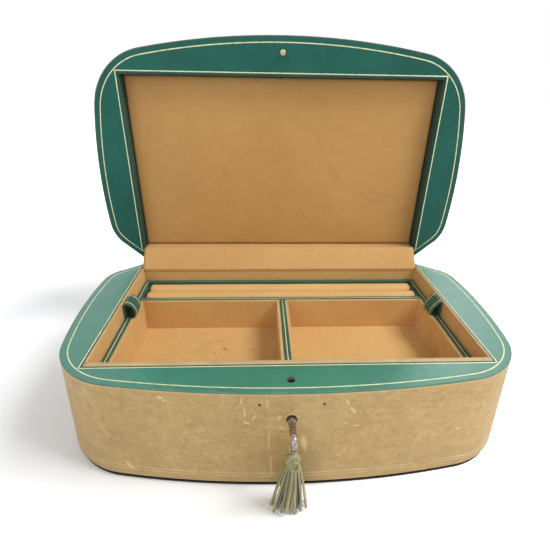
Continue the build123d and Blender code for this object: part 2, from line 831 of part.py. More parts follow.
def make_tassel():
    """Leather loop on the bow, knotted head and hanging strips."""
    plane = Plane(origin=(lock_x, bow_y, bar_z), x_dir=(1, 0, 0), z_dir=(0, -1, 0))
    outer = SlotCenterToCenter(lace_length, 2 * (loop_inner + lace), rotation=90)
    inner = SlotCenterToCenter(lace_length, 2 * loop_inner, rotation=90)
    ring = plane * Pos(0, -lace_length / 2) * (outer - inner)
    parts["tassel_loop"] = extrude(ring, lace_width / 2, both=True)

    foot = head_top - head_length
    profile = [
        (0, head_top), (head_neck_radius, head_top), (head_radius, head_top - 0.35 * head_length),
        (head_radius - 0.6, head_top - 0.75 * head_length), (head_foot_radius, foot), (0, foot),
    ]
    swell = ((head_neck_radius + head_radius) / 2 + 0.5, head_top - 0.13 * head_length)
    curve = [
        Line(profile[0], profile[1]), ThreePointArc(profile[1], swell, profile[2]),
        Line(profile[2], profile[3]), Line(profile[3], profile[4]), Line(profile[4], profile[5]),
        Line(profile[5], profile[0]),
    ]
    head = Pos(lock_x, bow_y, 0) * revolve(Plane.XZ * make_face(curve), Axis.Z)
    side = eye_width / 2
    ring = rod((lock_x - side, bow_y, swing_z), (lock_x + side, bow_y, swing_z), eye_inner + eye)
    bore = rod((lock_x - lace_width, bow_y, swing_z), (lock_x + lace_width, bow_y, swing_z), eye_inner)
    parts["tassel_head"] = (head + ring) - bore
    parts["tassel_strips"] = Compound(children=hanging_strips(foot))


def hanging_strips(foot):
    """Leather strips in two rings, spreading from the head down to the floor."""
    found = []
    rings = (
        (outer_strips, outer_root_radius, outer_spread, 0.0),
        (inner_strips, inner_root_radius, inner_spread, 0.5),
    )
    start_z = foot - strip_start_gap
    end_z = tassel_floor_gap + tassel_leather
    for count, root, spread, shift in rings:
        for index in range(count):
            turn = radians(360 * (index + shift) / count)
            reach = spread * (1 + 0.12 * sin(3 * turn))
            belly = root + 0.35 * (reach - root)
            across, deep = cos(turn), sin(turn)
            flat = spread_ratio * deep
            path = ThreePointArc(
                (lock_x + root * across, bow_y + root * deep, start_z),
                (lock_x + belly * across + 0.3 * tassel_lean, bow_y + belly * flat, start_z / 2),
                (lock_x + reach * across + tassel_lean, bow_y + reach * flat, end_z),
            )
            section = Plane(origin=path @ 0, x_dir=(-deep, across, 0), z_dir=path % 0)
            found.append(sweep(section * Rectangle(strip_width, tassel_leather), path=path))
    return found


make_case()
make_linings()
make_hinge()
make_hinge_strip()
make_lid()
make_tray()
make_lock()
make_key()
make_tassel()

os.makedirs("parts", exist_ok=True)
for name, shape in parts.items():
    export_step(shape, f"parts/{name}.step")
print(f"{len(parts)} nodes")
print(f"bolt travel {bolt_travel:.3f} mm, {bolt_travel / radians(key_turn):.4f} mm per radian")
print(f"hinge axis y {hinge_y:.3f} z {hinge_z:.3f}; lock z {lock_z:.2f}")
print(f"bow y {bow_y:.3f}, bar z {bar_z:.3f}; tassel swings about z {swing_z:.3f}")
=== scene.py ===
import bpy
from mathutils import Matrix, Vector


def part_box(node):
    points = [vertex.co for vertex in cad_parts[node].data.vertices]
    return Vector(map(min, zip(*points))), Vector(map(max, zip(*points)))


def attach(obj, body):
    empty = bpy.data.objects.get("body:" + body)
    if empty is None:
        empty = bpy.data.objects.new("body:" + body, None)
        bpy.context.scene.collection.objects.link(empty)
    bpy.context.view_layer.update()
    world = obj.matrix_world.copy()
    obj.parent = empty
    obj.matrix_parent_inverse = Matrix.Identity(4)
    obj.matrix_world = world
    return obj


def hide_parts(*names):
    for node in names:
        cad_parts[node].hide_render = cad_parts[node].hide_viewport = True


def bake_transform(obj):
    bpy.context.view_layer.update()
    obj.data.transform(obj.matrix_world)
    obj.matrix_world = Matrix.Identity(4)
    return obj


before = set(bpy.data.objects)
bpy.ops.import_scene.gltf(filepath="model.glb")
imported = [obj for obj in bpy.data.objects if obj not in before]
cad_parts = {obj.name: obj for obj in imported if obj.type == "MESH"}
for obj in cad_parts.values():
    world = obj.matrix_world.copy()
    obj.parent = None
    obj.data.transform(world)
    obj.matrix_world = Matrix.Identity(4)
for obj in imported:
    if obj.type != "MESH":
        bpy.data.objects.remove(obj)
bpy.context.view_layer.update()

from math import atan2, cos, pi, radians, sin, sqrt

import bmesh
import bpy
from mathutils import Matrix, Vector, noise

# Leather jewelry box, open, with its tray in place. Metres, in the frame of the solids.
# +X is to the right, +Y is towards the hinge and +Z is up.

MM = 0.001

# Camera, fitted to the photograph
CAMERA_PLACE = Vector((-0.0223, -0.3106, 0.2642))
CAMERA_YAW = -2.99
CAMERA_PITCH = 28.38
CAMERA_ROLL = 1.06
FOCAL_PX = 403.1
CENTRE_PX = (279.2, 294.6)
IMAGE_PX = 550
SENSOR_MM = 36.0

# Plan shape of the case at its rim
FRONT_RADIUS = 716.0 * MM
FRONT_Y = -113.2 * MM
HALF_WIDTH = 177.9 * MM
WIDEST_Y = 19.5 * MM
SIDE_RADIUS = 448.0 * MM
FRONT_CORNER_RADIUS = 56.0 * MM
REAR_CORNER_RADIUS = 31.0 * MM
DIAGONAL_ANGLE = 41.8
DIAGONAL_MARGIN = 7.4 * MM

# Gold tooled lines, and the dark seam and the worn edge beside them
GOLD_MARGIN = 5.3 * MM
GOLD_INNER = 1.5 * MM
GOLD_WIDTH = 0.95 * MM
GOLD_PROUD = 0.06 * MM
SEAM_PLACE = 0.45 * MM
SEAM_WIDTH = 0.7 * MM
EDGE_WIDTH = 0.9 * MM
TRAY_LINE_WIDTH = 0.8 * MM
LINE_SINK = 0.05 * MM
LINE_PROFILE = ((-0.5, 0), (-0.42, 0.8), (0, 1), (0.42, 0.8), (0.5, 0))

# Cloth run of the lid's panel
CLOTH_CELL = 4.5 * MM
CLOTH_PRESSURE = 4.0
CLOTH_FRAMES = 20

# Floor and surroundings
FLOOR_HALF_SIZE = 6.0
FLOOR_GLOW = 0.05
SHADOW_PLACE = (-0.15, 0.03, 0)
SHADOW_REACH = (0.20, 0.48)
WORLD_STRENGTH = 0.50

# Places of the solids
RIM_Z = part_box("rim_leather")[1].z
WELL_LIP = 3.0 * MM
WELL_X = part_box("well_frame")[1].x - WELL_LIP
WELL_Y = -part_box("well_frame")[0].y - WELL_LIP
LID_FACE_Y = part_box("lid_facing")[0].y
HINGE = Vector((0, (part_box("hinge_pin")[0].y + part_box("hinge_pin")[1].y) / 2,
                (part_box("hinge_pin")[0].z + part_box("hinge_pin")[1].z) / 2))
TRAY_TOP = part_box("tray_frame")[1].z

UP = Vector((0, 0, 1))
TOWARDS_FRONT = Vector((0, -1, 0))
ACROSS_STRAPS = Vector((0, 1, 0))


# Shared helpers

def linked(name, data):
    """An object in the scene for a mesh, a camera or a light."""
    made = bpy.data.objects.new(name, data)
    bpy.context.scene.collection.objects.link(made)
    return made


def add_mesh(name, points, faces, material, body=None, smooth=True):
    """A mesh object from points and faces, normals outward, with its material, riding on a body."""
    mesh = bpy.data.meshes.new(name)
    mesh.from_pydata([tuple(p) for p in points], [], faces)
    mesh.validate()
    mesh.update()
    for face in mesh.polygons:
        face.use_smooth = smooth
    piece = linked(name, mesh)
    mesh.materials.append(material)
    work = bmesh.new()
    work.from_mesh(mesh)
    bmesh.ops.recalc_face_normals(work, faces=work.faces)
    work.to_mesh(mesh)
    work.free()
    if body:
        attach(piece, body)
    return piece


def tube_faces(rings, ring_size, closed=False):
    """Faces of a tube whose rings of points follow each other, capped where it isn't closed."""
    faces = []
    steps = rings if closed else rings - 1
    for i in range(steps):
        here, there = i * ring_size, (i + 1) % rings * ring_size
        for j in range(ring_size):
            k = (j + 1) % ring_size
            faces.append((here + j, here + k, there + k, there + j))
    if not closed:
        faces.append(tuple(reversed(range(ring_size))))
        faces.append(tuple(range((rings - 1) * ring_size, rings * ring_size)))
    return faces


def tangents(points, closed=False):
    """Unit directions along a list of points."""
    found = []
    count = len(points)
    for i in range(count):
        before = points[(i - 1) % count] if closed or i > 0 else points[i]
        after = points[(i + 1) % count] if closed or i < count - 1 else points[i]
        found.append((after - before).normalized())
    return found


def ribbon(name, points, width, proud, lift, material, body, closed=False):
    """A thin raised line of a given width along points, standing proud towards lift."""
    rings = []
    for point, along in zip(points, tangents(points, closed)):
        side = along.cross(lift).normalized()
        rings += [point + side * (across * width) + lift * (high * proud if high else -LINE_SINK)
                  for across, high in LINE_PROFILE]
    return add_mesh(name, rings, tube_faces(len(points), len(LINE_PROFILE), closed), material, body)


def rounded_section(width, height, radius, steps=3):
    """Points round a rectangle with rounded corners."""
    points = []
    for sx, sy, start in ((1, 1, 0), (-1, 1, 90), (-1, -1, 180), (1, -1, 270)):
        for k in range(steps + 1):
            angle = radians(start + 90 * k / steps)
            points.append((sx * (width / 2 - radius) + radius * cos(angle),
                           sy * (height / 2 - radius) + radius * sin(angle)))
    return points


def swept(name, path, section, side_of, material, body, closed=False):
    """A section swept along a path. side_of gives the section's first axis at each point."""
    rings = []
    for index, (point, along) in enumerate(zip(path, tangents(path, closed))):
        side = side_of(index, point, along)
        side = (side - along * side.dot(along)).normalized()
        lift = along.cross(side).normalized()
        rings += [point + side * u + lift * v for u, v in section]
    return add_mesh(name, rings, tube_faces(len(path), len(section), closed), material, body)


def wobble(point, size, amount, seed=0.0):
    """Smooth unevenness of a handmade surface, the same on each run."""
    return noise.noise(Vector(point) / size + Vector((seed, seed * 0.7, -seed))) * amount


def straight(start, end, count=8):
    """Points along a straight line."""
    return [start.lerp(end, k / count) for k in range(count + 1)]


def smooth_line(anchors, steps):
    """A Catmull-Rom line through anchors."""
    points = []
    padded = [anchors[0] * 2 - anchors[1], *anchors, anchors[-1] * 2 - anchors[-2]]
    for a, b, c, d in zip(padded, padded[1:], padded[2:], padded[3:]):
        for k in range(steps):
            t = k / steps
            points.append(0.5 * (2 * b + (c - a) * t + (2 * a - 5 * b + 4 * c - d) * t * t
                                 + (3 * b - a - 3 * c + d) * t ** 3))
    points.append(anchors[-1].copy())
    return points


def sheet_faces(rows, columns):
    """Faces of a thin sheet: two grids of rows by columns, joined round their edge."""
    faces = []
    back = rows * columns
    for i in range(rows - 1):
        for j in range(columns - 1):
            a = i * columns + j
            faces.append((a, a + 1, a + columns + 1, a + columns))
            faces.append((back + a, back + a + columns, back + a + columns + 1, back + a + 1))
    edge = list(range(columns))
    edge += [i * columns + columns - 1 for i in range(1, rows)]
    edge += [(rows - 1) * columns + j for j in range(columns - 2, -1, -1)]
    edge += [i * columns for i in range(rows - 2, 0, -1)]
    for a, b in zip(edge, edge[1:] + edge[:1]):
        faces.append((a, b, back + b, back + a))
    return faces


def edge_packed(t):
    """A position from -1 to 1 with more steps near the ends."""
    return sin((t - 0.5) * pi)


# Plan outline

def corner_points(low, high, inset, z):
    """The corners of a box's plan moved in by an inset, from the front left one round to the rear left one."""
    return [Vector((x, y, z)) for x, y in ((low.x + inset, low.y + inset), (high.x - inset, low.y + inset),
                                           (high.x - inset, high.y - inset), (low.x + inset, high.y - inset))]


def circle_meeting(centre_a, radius_a, centre_b, radius_b):
    """The lower right point at given distances from two centres."""
    between = centre_b - centre_a
    gap = between.length
    along = (radius_a ** 2 - radius_b ** 2 + gap ** 2) / (2 * gap)
    across = sqrt(radius_a ** 2 - along ** 2)
    unit = between.normalized()
    normal = Vector((-unit.y, unit.x))
    found = [centre_a + unit * along + normal * across * sign for sign in (1, -1)]
    return max(found, key=lambda point: point.x - point.y)


def plan_arcs():
    """Centre, radius and directions of each arc of the right half, from the front to the rear corner."""
    front = Vector((0, FRONT_Y + FRONT_RADIUS))
    side = Vector((HALF_WIDTH - SIDE_RADIUS, WIDEST_Y))
    corner = circle_meeting(front, FRONT_RADIUS - FRONT_CORNER_RADIUS, side, SIDE_RADIUS - FRONT_CORNER_RADIUS)
    square = radians(90 - DIAGONAL_ANGLE)
    outward = Vector((cos(square), sin(square)))
    along = Vector((-outward.y, outward.x))
    base = Vector((WELL_X, WELL_Y)) + outward * (DIAGONAL_MARGIN - REAR_CORNER_RADIUS)
    offset = base - side
    part = offset.dot(along)
    root = sqrt(part ** 2 - offset.length ** 2 + (SIDE_RADIUS - REAR_CORNER_RADIUS) ** 2)
    rear = min((base + along * (sign * root - part) for sign in (1, -1)), key=lambda p: abs(p.y - WELL_Y))

    def heading(start, end):
        return atan2(end.y - start.y, end.x - start.x)

    to_corner = heading(front, corner)
    from_corner = heading(side, corner)
    to_rear = heading(side, rear)
    return [(front, FRONT_RADIUS, -pi / 2, to_corner), (corner, FRONT_CORNER_RADIUS, to_corner, from_corner),
            (side, SIDE_RADIUS, from_corner, to_rear), (rear, REAR_CORNER_RADIUS, to_rear, square)]


def half_outline(offset):
    """Points of the right half of the outline, from the front middle to the end of the rear corner's arc."""
    step = 3.0 * MM
    points = []
    for centre, radius, start, end in plan_arcs():
        grown = radius + offset
        count = max(3, int(abs(end - start) * grown / step))
        for k in range(count + (1 if radius == REAR_CORNER_RADIUS else 0)):
            angle = start + (end - start) * k / count
            points.append(centre + Vector((cos(angle), sin(angle))) * grown)
    return points


def mirrored(right):
    """A line of the right half and its mirror image, as one line from the right rear round the front."""
    left = [Vector((-p.x, p.y)) for p in right]
    return list(reversed(right)) + left[1:]


def bow_line(offset):
    """The open line from the right rear corner of the gold rectangle round the front to the left one."""
    return mirrored(half_outline(offset) + [Vector((WELL_X + GOLD_INNER, WELL_Y + GOLD_INNER))])


def gold_rectangle(offset):
    """A closed rectangle round the well at an offset from its edge, with small cut corners."""
    half_x = WELL_X + offset
    half_y = WELL_Y + offset
    cut = 0.2 * MM
    steps = 12
    corners = [Vector(c) for c in ((half_x, -half_y), (half_x, half_y), (-half_x, half_y), (-half_x, -half_y))]
    points = []
    for before, here, after in zip(corners[-1:] + corners, corners, corners[1:] + corners[:1]):
        points.append(here + (before - here).normalized() * cut)
        points.append(here + (after - here).normalized() * cut)
        points += [here.lerp(after, k / steps) for k in range(1, steps)]
    return points


def on_rim(point):
    """A plan point on top of the case's rim."""
    return Vector((point.x, point.y, RIM_Z))


def on_lid(point):
    """A plan point of the shut lid, carried to the face of the open lid."""
    return Vector((point.x, LID_FACE_Y, HINGE.z + HINGE.y - point.y))


# Materials

def new_material(name):
    """A new node material, its tree and its shader."""
    material = bpy.data.materials.new(name)
    material.use_nodes = True
    return material, material.node_tree, material.node_tree.nodes["Principled BSDF"]


def fill(tree, made, sockets):
    """Link each of a node's sockets to an output, or set its own value."""
    for key, value in sockets.items():
        socket = made.inputs[key]
        if isinstance(value, bpy.types.NodeSocket):
            tree.links.new(value, socket)
        else:
            socket.default_value = (*value, 1.0) if socket.type == "RGBA" else value


def node(tree, kind, sockets, **settings):
    """A shader node with its properties and sockets set."""
    made = tree.nodes.new("ShaderNode" + kind)
    for key, value in settings.items():
        setattr(made, key, value)
    fill(tree, made, sockets)
    return made


def coordinates(tree, scale=(1, 1, 1)):
    """Object coordinates in metres, stretched along the axes."""
    place = node(tree, "TexCoord", {}).outputs["Object"]
    return node(tree, "Mapping", {"Vector": place, "Scale": scale}).outputs["Vector"]


def noise_value(tree, vector, scale, detail=4.0, roughness=0.55, distortion=0.0):
    """A noise pattern's value."""
    return node(tree, "TexNoise", {"Vector": vector, "Scale": scale, "Detail": detail, "Roughness": roughness,
                                   "Distortion": distortion}).outputs["Fac"]


def ramp(tree, value, stops):
    """A colour ramp over a value. stops are (position, colour) pairs."""
    made = node(tree, "ValToRGB", {"Fac": value})
    elements = made.color_ramp.elements
    while len(elements) < len(stops):
        elements.new(0.5)
    for element, (position, colour) in zip(elements, stops):
        element.position = position
        element.color = (*colour, 1.0)
    return made.outputs["Color"]


def stretched_value(tree, value, low, high, out_low=0.0, out_high=1.0):
    """A value stretched between two limits."""
    return node(tree, "MapRange", {"Value": value, "From Min": low, "From Max": high, "To Min": out_low,
                                   "To Max": out_high}).outputs["Result"]


def mixed(tree, factor, colour_a, colour_b, mode="MIX"):
    """Two colours mixed by a factor. Each is an output or a colour."""
    return node(tree, "Mix", {0: factor, 6: colour_a, 7: colour_b}, data_type="RGBA", blend_type=mode).outputs[2]


def arithmetic(tree, operation, a, b=0.0):
    """One calculation on values or outputs."""
    return node(tree, "Math", {0: a, 1: b}, operation=operation).outputs[0]


def tinted(tree, colour, stretch, pattern, low, high, strength, tint):
    """A colour with a tint laid over it where a noise pattern is high."""
    field = noise_value(tree, coordinates(tree, stretch), *pattern)
    return mixed(tree, stretched_value(tree, field, low, high, 0.0, strength), colour, tint)


def bumped(tree, shader, layers):
    """Height layers (output, strength, distance) chained into the shader's normal."""
    normal = {}
    for height, strength, distance in layers:
        made = node(tree, "Bump", {"Height": height, "Strength": strength, "Distance": distance, **normal})
        normal = {"Normal": made.outputs["Normal"]}
    fill(tree, shader, normal)


def unsettled(tree, vector, scale, detail, amount):
    """Coordinates shifted by noise, for ragged edges and uneven cells."""
    warp = node(tree, "TexNoise", {"Vector": vector, "Scale": scale, "Detail": detail}).outputs["Color"]
    shift = node(tree, "VectorMath", {0: warp, "Scale": amount}, operation="SCALE").outputs[0]
    return node(tree, "VectorMath", {0: vector, 1: shift}, operation="ADD").outputs[0]


def oval_distance(tree, vector, place, size=(1, 1, 1), tilt=0.0):
    """Distance from a place, measured in an oval's half sizes."""
    inside = node(tree, "Mapping", {"Vector": vector, "Location": place, "Rotation": (0, radians(tilt), 0),
                                    "Scale": size}, vector_type="TEXTURE").outputs["Vector"]
    return node(tree, "VectorMath", {0: inside}, operation="LENGTH").outputs["Value"]


def mark(tree, warped, place, size, strength, soft, tilt=0.0):
    """A soft oval mask round a place, with half sizes, both in mm, turned about Y by a tilt in degrees."""
    reach = oval_distance(tree, warped, [v * MM for v in place], [v * MM for v in size], tilt)
    return stretched_value(tree, reach, 1.0, 1.0 - soft, 0.0, strength)


def front_mark(tree, warped, place, size, strength, soft, tilt=0.0):
    """A soft oval mask on the front wall, at (x, z) and with half sizes (x, z) in mm."""
    x, z = place
    return mark(tree, warped, (x, FRONT_MARK_Y, z), (size[0], FRONT_MARK_DEPTH, size[1]), strength, soft, tilt)


def grain_height(tree, vector, size):
    """Height of leather grain: small rounded cells with creases between them."""
    bent = unsettled(tree, vector, 0.35 / size, 2.0, size * 1.2)
    cells = node(tree, "TexVoronoi", {"Vector": bent, "Scale": 1 / size, "Randomness": 1.0},
                 feature="DISTANCE_TO_EDGE")
    return stretched_value(tree, cells.outputs["Distance"], 0.0, 0.35)


def leather(name, light, dark, stain=None, grain=0.9 * MM, grain_depth=0.05 * MM, roughness=(0.5, 0.7),
            sheen=0.0, coat=0.0, blotch=18.0, streak=(1, 1, 1), contrast=(0.35, 0.68), speckled=0.75, waves=0.25):
    """Leather with a mottled colour, soft stains, creased grain and uneven gloss."""
    material, tree, shader = new_material(name)
    plain = coordinates(tree)
    stretched = coordinates(tree, streak)
    broad = noise_value(tree, stretched, blotch, 6.0, 0.6, 0.4)
    colour = ramp(tree, broad, [(contrast[0], dark), (contrast[1], light)])
    fine = noise_value(tree, stretched, blotch * 14, 5.0, 0.65)
    speckle = ramp(tree, fine, [(0.30, (0.86, 0.86, 0.86)), (0.62, (1.04, 1.04, 1.04))])
    colour = mixed(tree, speckled, colour, speckle, "MULTIPLY")
    if stain:
        colour = tinted(tree, colour, (1, 1, 1), (blotch * 0.8, 7.0, 0.7, 1.2), 0.60, 0.74, 0.55, stain)
    gloss = noise_value(tree, plain, blotch * 3, 4.0)
    fill(tree, shader, {
        "Base Color": colour, "Roughness": stretched_value(tree, gloss, 0.3, 0.7, *roughness),
        "Sheen Weight": sheen, "Sheen Roughness": 0.5, "Coat Weight": coat, "Coat Roughness": 0.25})
    height = grain_height(tree, plain, grain)
    pores = noise_value(tree, plain, 1.6 / grain, 3.0)
    bumped(tree, shader, [(broad, waves, 0.6 * MM), (height, 0.5, grain_depth), (pores, 0.35, grain_depth)])
    return material, tree, shader, colour


def exterior_leather():
    """Worn khaki calf of the outside, with scuffs, rubbed spots, streaks and two tooled lines near the bottom, darker
    towards the bottom, paler at the top edge with a painted highlight, and with painted shadow round the tassel.
    """
    material, tree, shader, colour = leather(
        "exterior_calf", *EXTERIOR_TONES, stain=(0.36, 0.25, 0.10), grain=0.8 * MM, grain_depth=0.035 * MM,
        roughness=(0.42, 0.6), blotch=11.0, streak=(1.0, 1.0, 0.7), contrast=(0.30, 0.66))
    plain = coordinates(tree)
    height = node(tree, "SeparateXYZ", {0: plain}).outputs["Z"]
    for stretch, pattern, low, high, strength, tint in EXTERIOR_TINTS:
        colour = tinted(tree, colour, stretch, pattern, low, high, strength, tint)

    mottle = noise_value(tree, coordinates(tree, MOTTLE[0]), *MOTTLE[1])
    patchy = stretched_value(tree, mottle, 0.42, 0.62, 0.15, 1.0)
    for scale, stretch, strength, tint in VEINS:
        field = noise_value(tree, coordinates(tree, stretch), scale, 5.0, 0.62, 2.2)
        away = arithmetic(tree, "ABSOLUTE", arithmetic(tree, "SUBTRACT", field, 0.5))
        vein = arithmetic(tree, "MULTIPLY", stretched_value(tree, away, 0.034, 0.006, 0.0, strength), patchy)
        colour = mixed(tree, vein, colour, tint)

    warped = unsettled(tree, plain, 420.0, 4.0, 2.6 * MM)
    # Painted shadow of the tassel on the front wall, then the light area round the keyhole
    for place, size, strength, tint in TASSEL_SHADOW_AND_PALE_AREA:
        colour = mixed(tree, front_mark(tree, warped, place, size, strength, 0.9), colour, tint)
    for place, size, tilt, strength in WEAR_MARKS:
        spot = front_mark(tree, warped, place, size, strength * 0.85, 0.55, tilt)
        colour = mixed(tree, spot, colour, WEAR_TINT)

    # Darker towards the bottom, unevenly; the same noise breaks up the tooled lines
    blotchiness = noise_value(tree, plain, 34.0, 6.0, 0.7)
    low = stretched_value(tree, height, *LOW_DARKENING, 0.0, 0.42)
    darker_low = arithmetic(tree, "MULTIPLY", low, stretched_value(tree, blotchiness, 0.35, 0.65, 0.3, 1.0))
    colour = mixed(tree, darker_low, colour, (0.36, 0.245, 0.10))
    unbroken = stretched_value(tree, blotchiness, 0.40, 0.58, 0.12, 1.0)
    for line_z, amount in TOOLED_LINES:
        away = arithmetic(tree, "ABSOLUTE", arithmetic(tree, "SUBTRACT", height, line_z))
        band = stretched_value(tree, away, 0.6 * MM, 0.2 * MM, 0.0, amount)
        colour = mixed(tree, arithmetic(tree, "MULTIPLY", band, unbroken), colour, (0.76, 0.60, 0.34))
    # Pale top edge: partly the lapped edge of the leather, partly a painted highlight
    top = stretched_value(tree, height, *TOP_EDGE_AND_HIGHLIGHT, 0.0, 0.5)
    colour = mixed(tree, top, colour, (0.72, 0.58, 0.30))
    fill(tree, shader, {"Base Color": colour})
    return material


def green_leather(name, light, dark, worn, roughness, coat, specular=0.5):
    """Polished green calf with fine grain and faint rubbing."""
    material, tree, shader, colour = leather(
        name, light, dark, grain=0.7 * MM, grain_depth=0.02 * MM, roughness=roughness, coat=coat,
        blotch=16.0, contrast=(0.3, 0.7))
    colour = tinted(tree, colour, (1, 1, 1), (70.0, 8.0, 0.75, 0.6), 0.60, 0.72, 0.45, worn)
    fill(tree, shader, {"Base Color": colour, "Specular IOR Level": specular})
    return material


def inner_leather(name, light, dark, stain, blotch, marks=()):
    """Smooth matt calf of the inside, with faint handling marks and any stains of its own."""
    material, tree, shader, colour = leather(
        name, light, dark, stain=stain, grain=0.6 * MM, grain_depth=0.02 * MM, roughness=(0.62, 0.78), sheen=0.12,
        blotch=blotch, contrast=(0.30, 0.70), speckled=0.38, waves=0.10)
    colour = tinted(tree, colour, (0.5, 0.5, 2.0), (90.0, 6.0, 0.7, 1.4), 0.58, 0.72, 0.30, stain)
    warped = unsettled(tree, coordinates(tree), 500.0, 4.0, 2.2 * MM)
    for place, size, strength in marks:
        colour = mixed(tree, mark(tree, warped, place, size, strength, 0.6), colour, (0.20, 0.095, 0.030))
    fill(tree, shader, {"Base Color": colour})
    return material


def worn_leather(name, light, dark, stain):
    """Green leather rubbed down to the tan at its edge."""
    return leather(name, light, dark, stain=stain, grain=0.5 * MM, roughness=(0.5, 0.7), blotch=70.0)[0]


def tassel_leather():
    """Khaki on the grain side of the strips and grey-green on the flesh side; the same dark colour is painted shade on
    the inner strips and beside the knot's ring.
    """
    material, tree, shader, colour = leather(
        "tassel_calf", (0.430, 0.375, 0.185), (0.290, 0.250, 0.115), stain=(0.20, 0.195, 0.115), grain=0.5 * MM,
        grain_depth=0.03 * MM, roughness=(0.5, 0.7), blotch=170.0, streak=(1, 1, 0.25))
    inner = node(tree, "Attribute", {}, attribute_name="inner", attribute_type="GEOMETRY").outputs["Fac"]
    shade = noise_value(tree, coordinates(tree), 300.0, 5.0)
    # The dark flesh colour, also laid on as painted shade where the attribute says so
    back = ramp(tree, shade, [(0.3, (0.085, 0.105, 0.072)), (0.7, (0.185, 0.195, 0.135))])
    fill(tree, shader, {"Base Color": mixed(tree, inner, colour, back)})
    return material


def finish(name, stretch, pattern, stops, roughness, bump, metallic=0.0):
    """A material whose colour, relief and, given a pair, roughness follow one noise pattern."""
    material, tree, shader = new_material(name)
    field = noise_value(tree, coordinates(tree, stretch), *pattern)
    if isinstance(roughness, tuple):
        roughness = stretched_value(tree, field, 0.3, 0.7, *roughness)
    fill(tree, shader, {"Base Color": ramp(tree, field, stops), "Metallic": metallic, "Roughness": roughness})
    bumped(tree, shader, [(field, *bump)])
    return material


def metal(name, colour, dark, roughness, metallic=1.0, scale=300.0):
    """Metal with uneven tarnish, rougher where it is dark."""
    return finish(name, (1, 1, 1), (scale, 6.0, 0.65), [(0.32, dark), (0.6, colour)], roughness, (0.25, 0.02 * MM),
                  metallic)


# Middle and half depth of the marks on the front wall, in mm
FRONT_MARK_Y = -113
FRONT_MARK_DEPTH = 30
# Heights between which the exterior darkens towards the bottom, and the pale top edge, partly the lapped edge and
# partly a painted highlight, sets in
LOW_DARKENING = (30 * MM, 2 * MM)
TOP_EDGE_AND_HIGHLIGHT = (82.6 * MM, 83.8 * MM)
# Height and strength of the two tooled lines round the outside
TOOLED_LINES = ((13.4 * MM, 0.75), (10.6 * MM, 0.60))
EXTERIOR_TONES = ((0.540, 0.350, 0.130), (0.435, 0.270, 0.090))
PALE_SCUFF = (0.68, 0.52, 0.26)
WEAR_TINT = (0.76, 0.60, 0.31)
# Stretch and noise pattern of the mottling
MOTTLE = ((1.6, 1.6, 0.7), (95.0, 8.0, 0.8, 1.5))
# Stretch, noise pattern, limits, strength and colour of the mottling, rubbed spots, scratches and uneven patches
EXTERIOR_TINTS = [
    (*MOTTLE, 0.53, 0.66, 0.42, (0.37, 0.245, 0.085)),
    ((0.6, 0.6, 1.5), (120.0, 8.0, 0.78, 1.8), 0.58, 0.68, 0.55, PALE_SCUFF),
    ((0.10, 0.10, 3.2), (130.0, 4.0, 0.6), 0.66, 0.72, 0.32, PALE_SCUFF),
    ((2.4, 2.4, 0.13), (120.0, 4.0, 0.6), 0.68, 0.74, 0.28, PALE_SCUFF),
    ((1, 1, 1.5), (30.0, 6.0, 0.6, 1.3), 0.50, 0.56, 0.24, (0.60, 0.41, 0.165)),
    ((0.9, 0.9, 1.4), (44.0, 6.0, 0.6, 1.3), 0.54, 0.60, 0.26, (0.36, 0.225, 0.080)),
    ((1, 1, 1.6), (75.0, 6.0, 0.6, 1.3), 0.57, 0.62, 0.30, (0.66, 0.47, 0.21)),
]
# Scale, stretch, strength and colour of the fine creases
VEINS = [
    (26.0, (1, 1, 1.6), 0.42, (0.33, 0.205, 0.070)), (48.0, (0.8, 0.8, 2.2), 0.38, (0.66, 0.48, 0.22)),
    (70.0, (1.5, 1.5, 0.8), 0.30, (0.31, 0.19, 0.065)),
]
# Place (x, z) and half sizes (x, z) in mm, strength and colour of the dim area, a painted shadow of the tassel, and of
# the light area round the keyhole
TASSEL_SHADOW_AND_PALE_AREA = [((-3, 30), (34, 26), 0.38, (0.33, 0.225, 0.085)), ((14, 62), (26, 18), 0.22, (0.56, 0.46, 0.21))]
# Place (x, z) and half sizes (x, z) in mm, tilt in degrees and strength of each pale mark on the front
WEAR_MARKS = [
    ((-87, 80), (2.6, 1.7), 20, 0.95), ((-85, 77.5), (1.6, 1.0), -30, 0.8), ((-139, 78), (1.0, 4.0), -25, 0.8),
    ((-34, 80), (0.9, 4.5), 12, 0.75), ((-32.3, 71), (0.8, 6.5), -4, 0.8), ((-31.0, 61.5), (3.6, 1.1), 25, 0.8),
    ((-26, 66), (0.7, 4.0), 25, 0.5), ((-17, 78), (1.3, 7), -6, 0.4), ((-16, 48), (0.9, 14), 2, 0.45),
    ((-14.5, 22), (1.3, 13), -2, 0.6), ((8.3, 43), (2.7, 9.5), -8, 0.85), ((-7, 57), (3.2, 1.8), 10, 0.7),
    ((-9, 66), (2.0, 3.2), 20, 0.55), ((36, 77.5), (1.5, 4.2), -28, 0.6), ((40, 70.5), (1.3, 4.5), -30, 0.8),
    ((36, 59.4), (2.4, 0.8), 10, 0.75), ((44, 57), (3.0, 0.7), 12, 0.8), ((60, 68), (7, 0.5), 3, 0.45),
    ((121, 43), (2.2, 1.6), 0, 0.8), ((104, 40), (5.5, 0.5), 6, 0.4), ((112, 56), (4.5, 0.6), 5, 0.4),
    ((-117, 15), (2.4, 5.5), -35, 0.75), ((-112, 12), (4.5, 0.9), 10, 0.6), ((-62, 44), (7, 0.6), -8, 0.4),
    ((-96, 60), (5, 0.6), 12, 0.35), ((132, 14), (12, 0.8), 8, 0.8), ((116, 9), (9, 0.6), 8, 0.6),
]
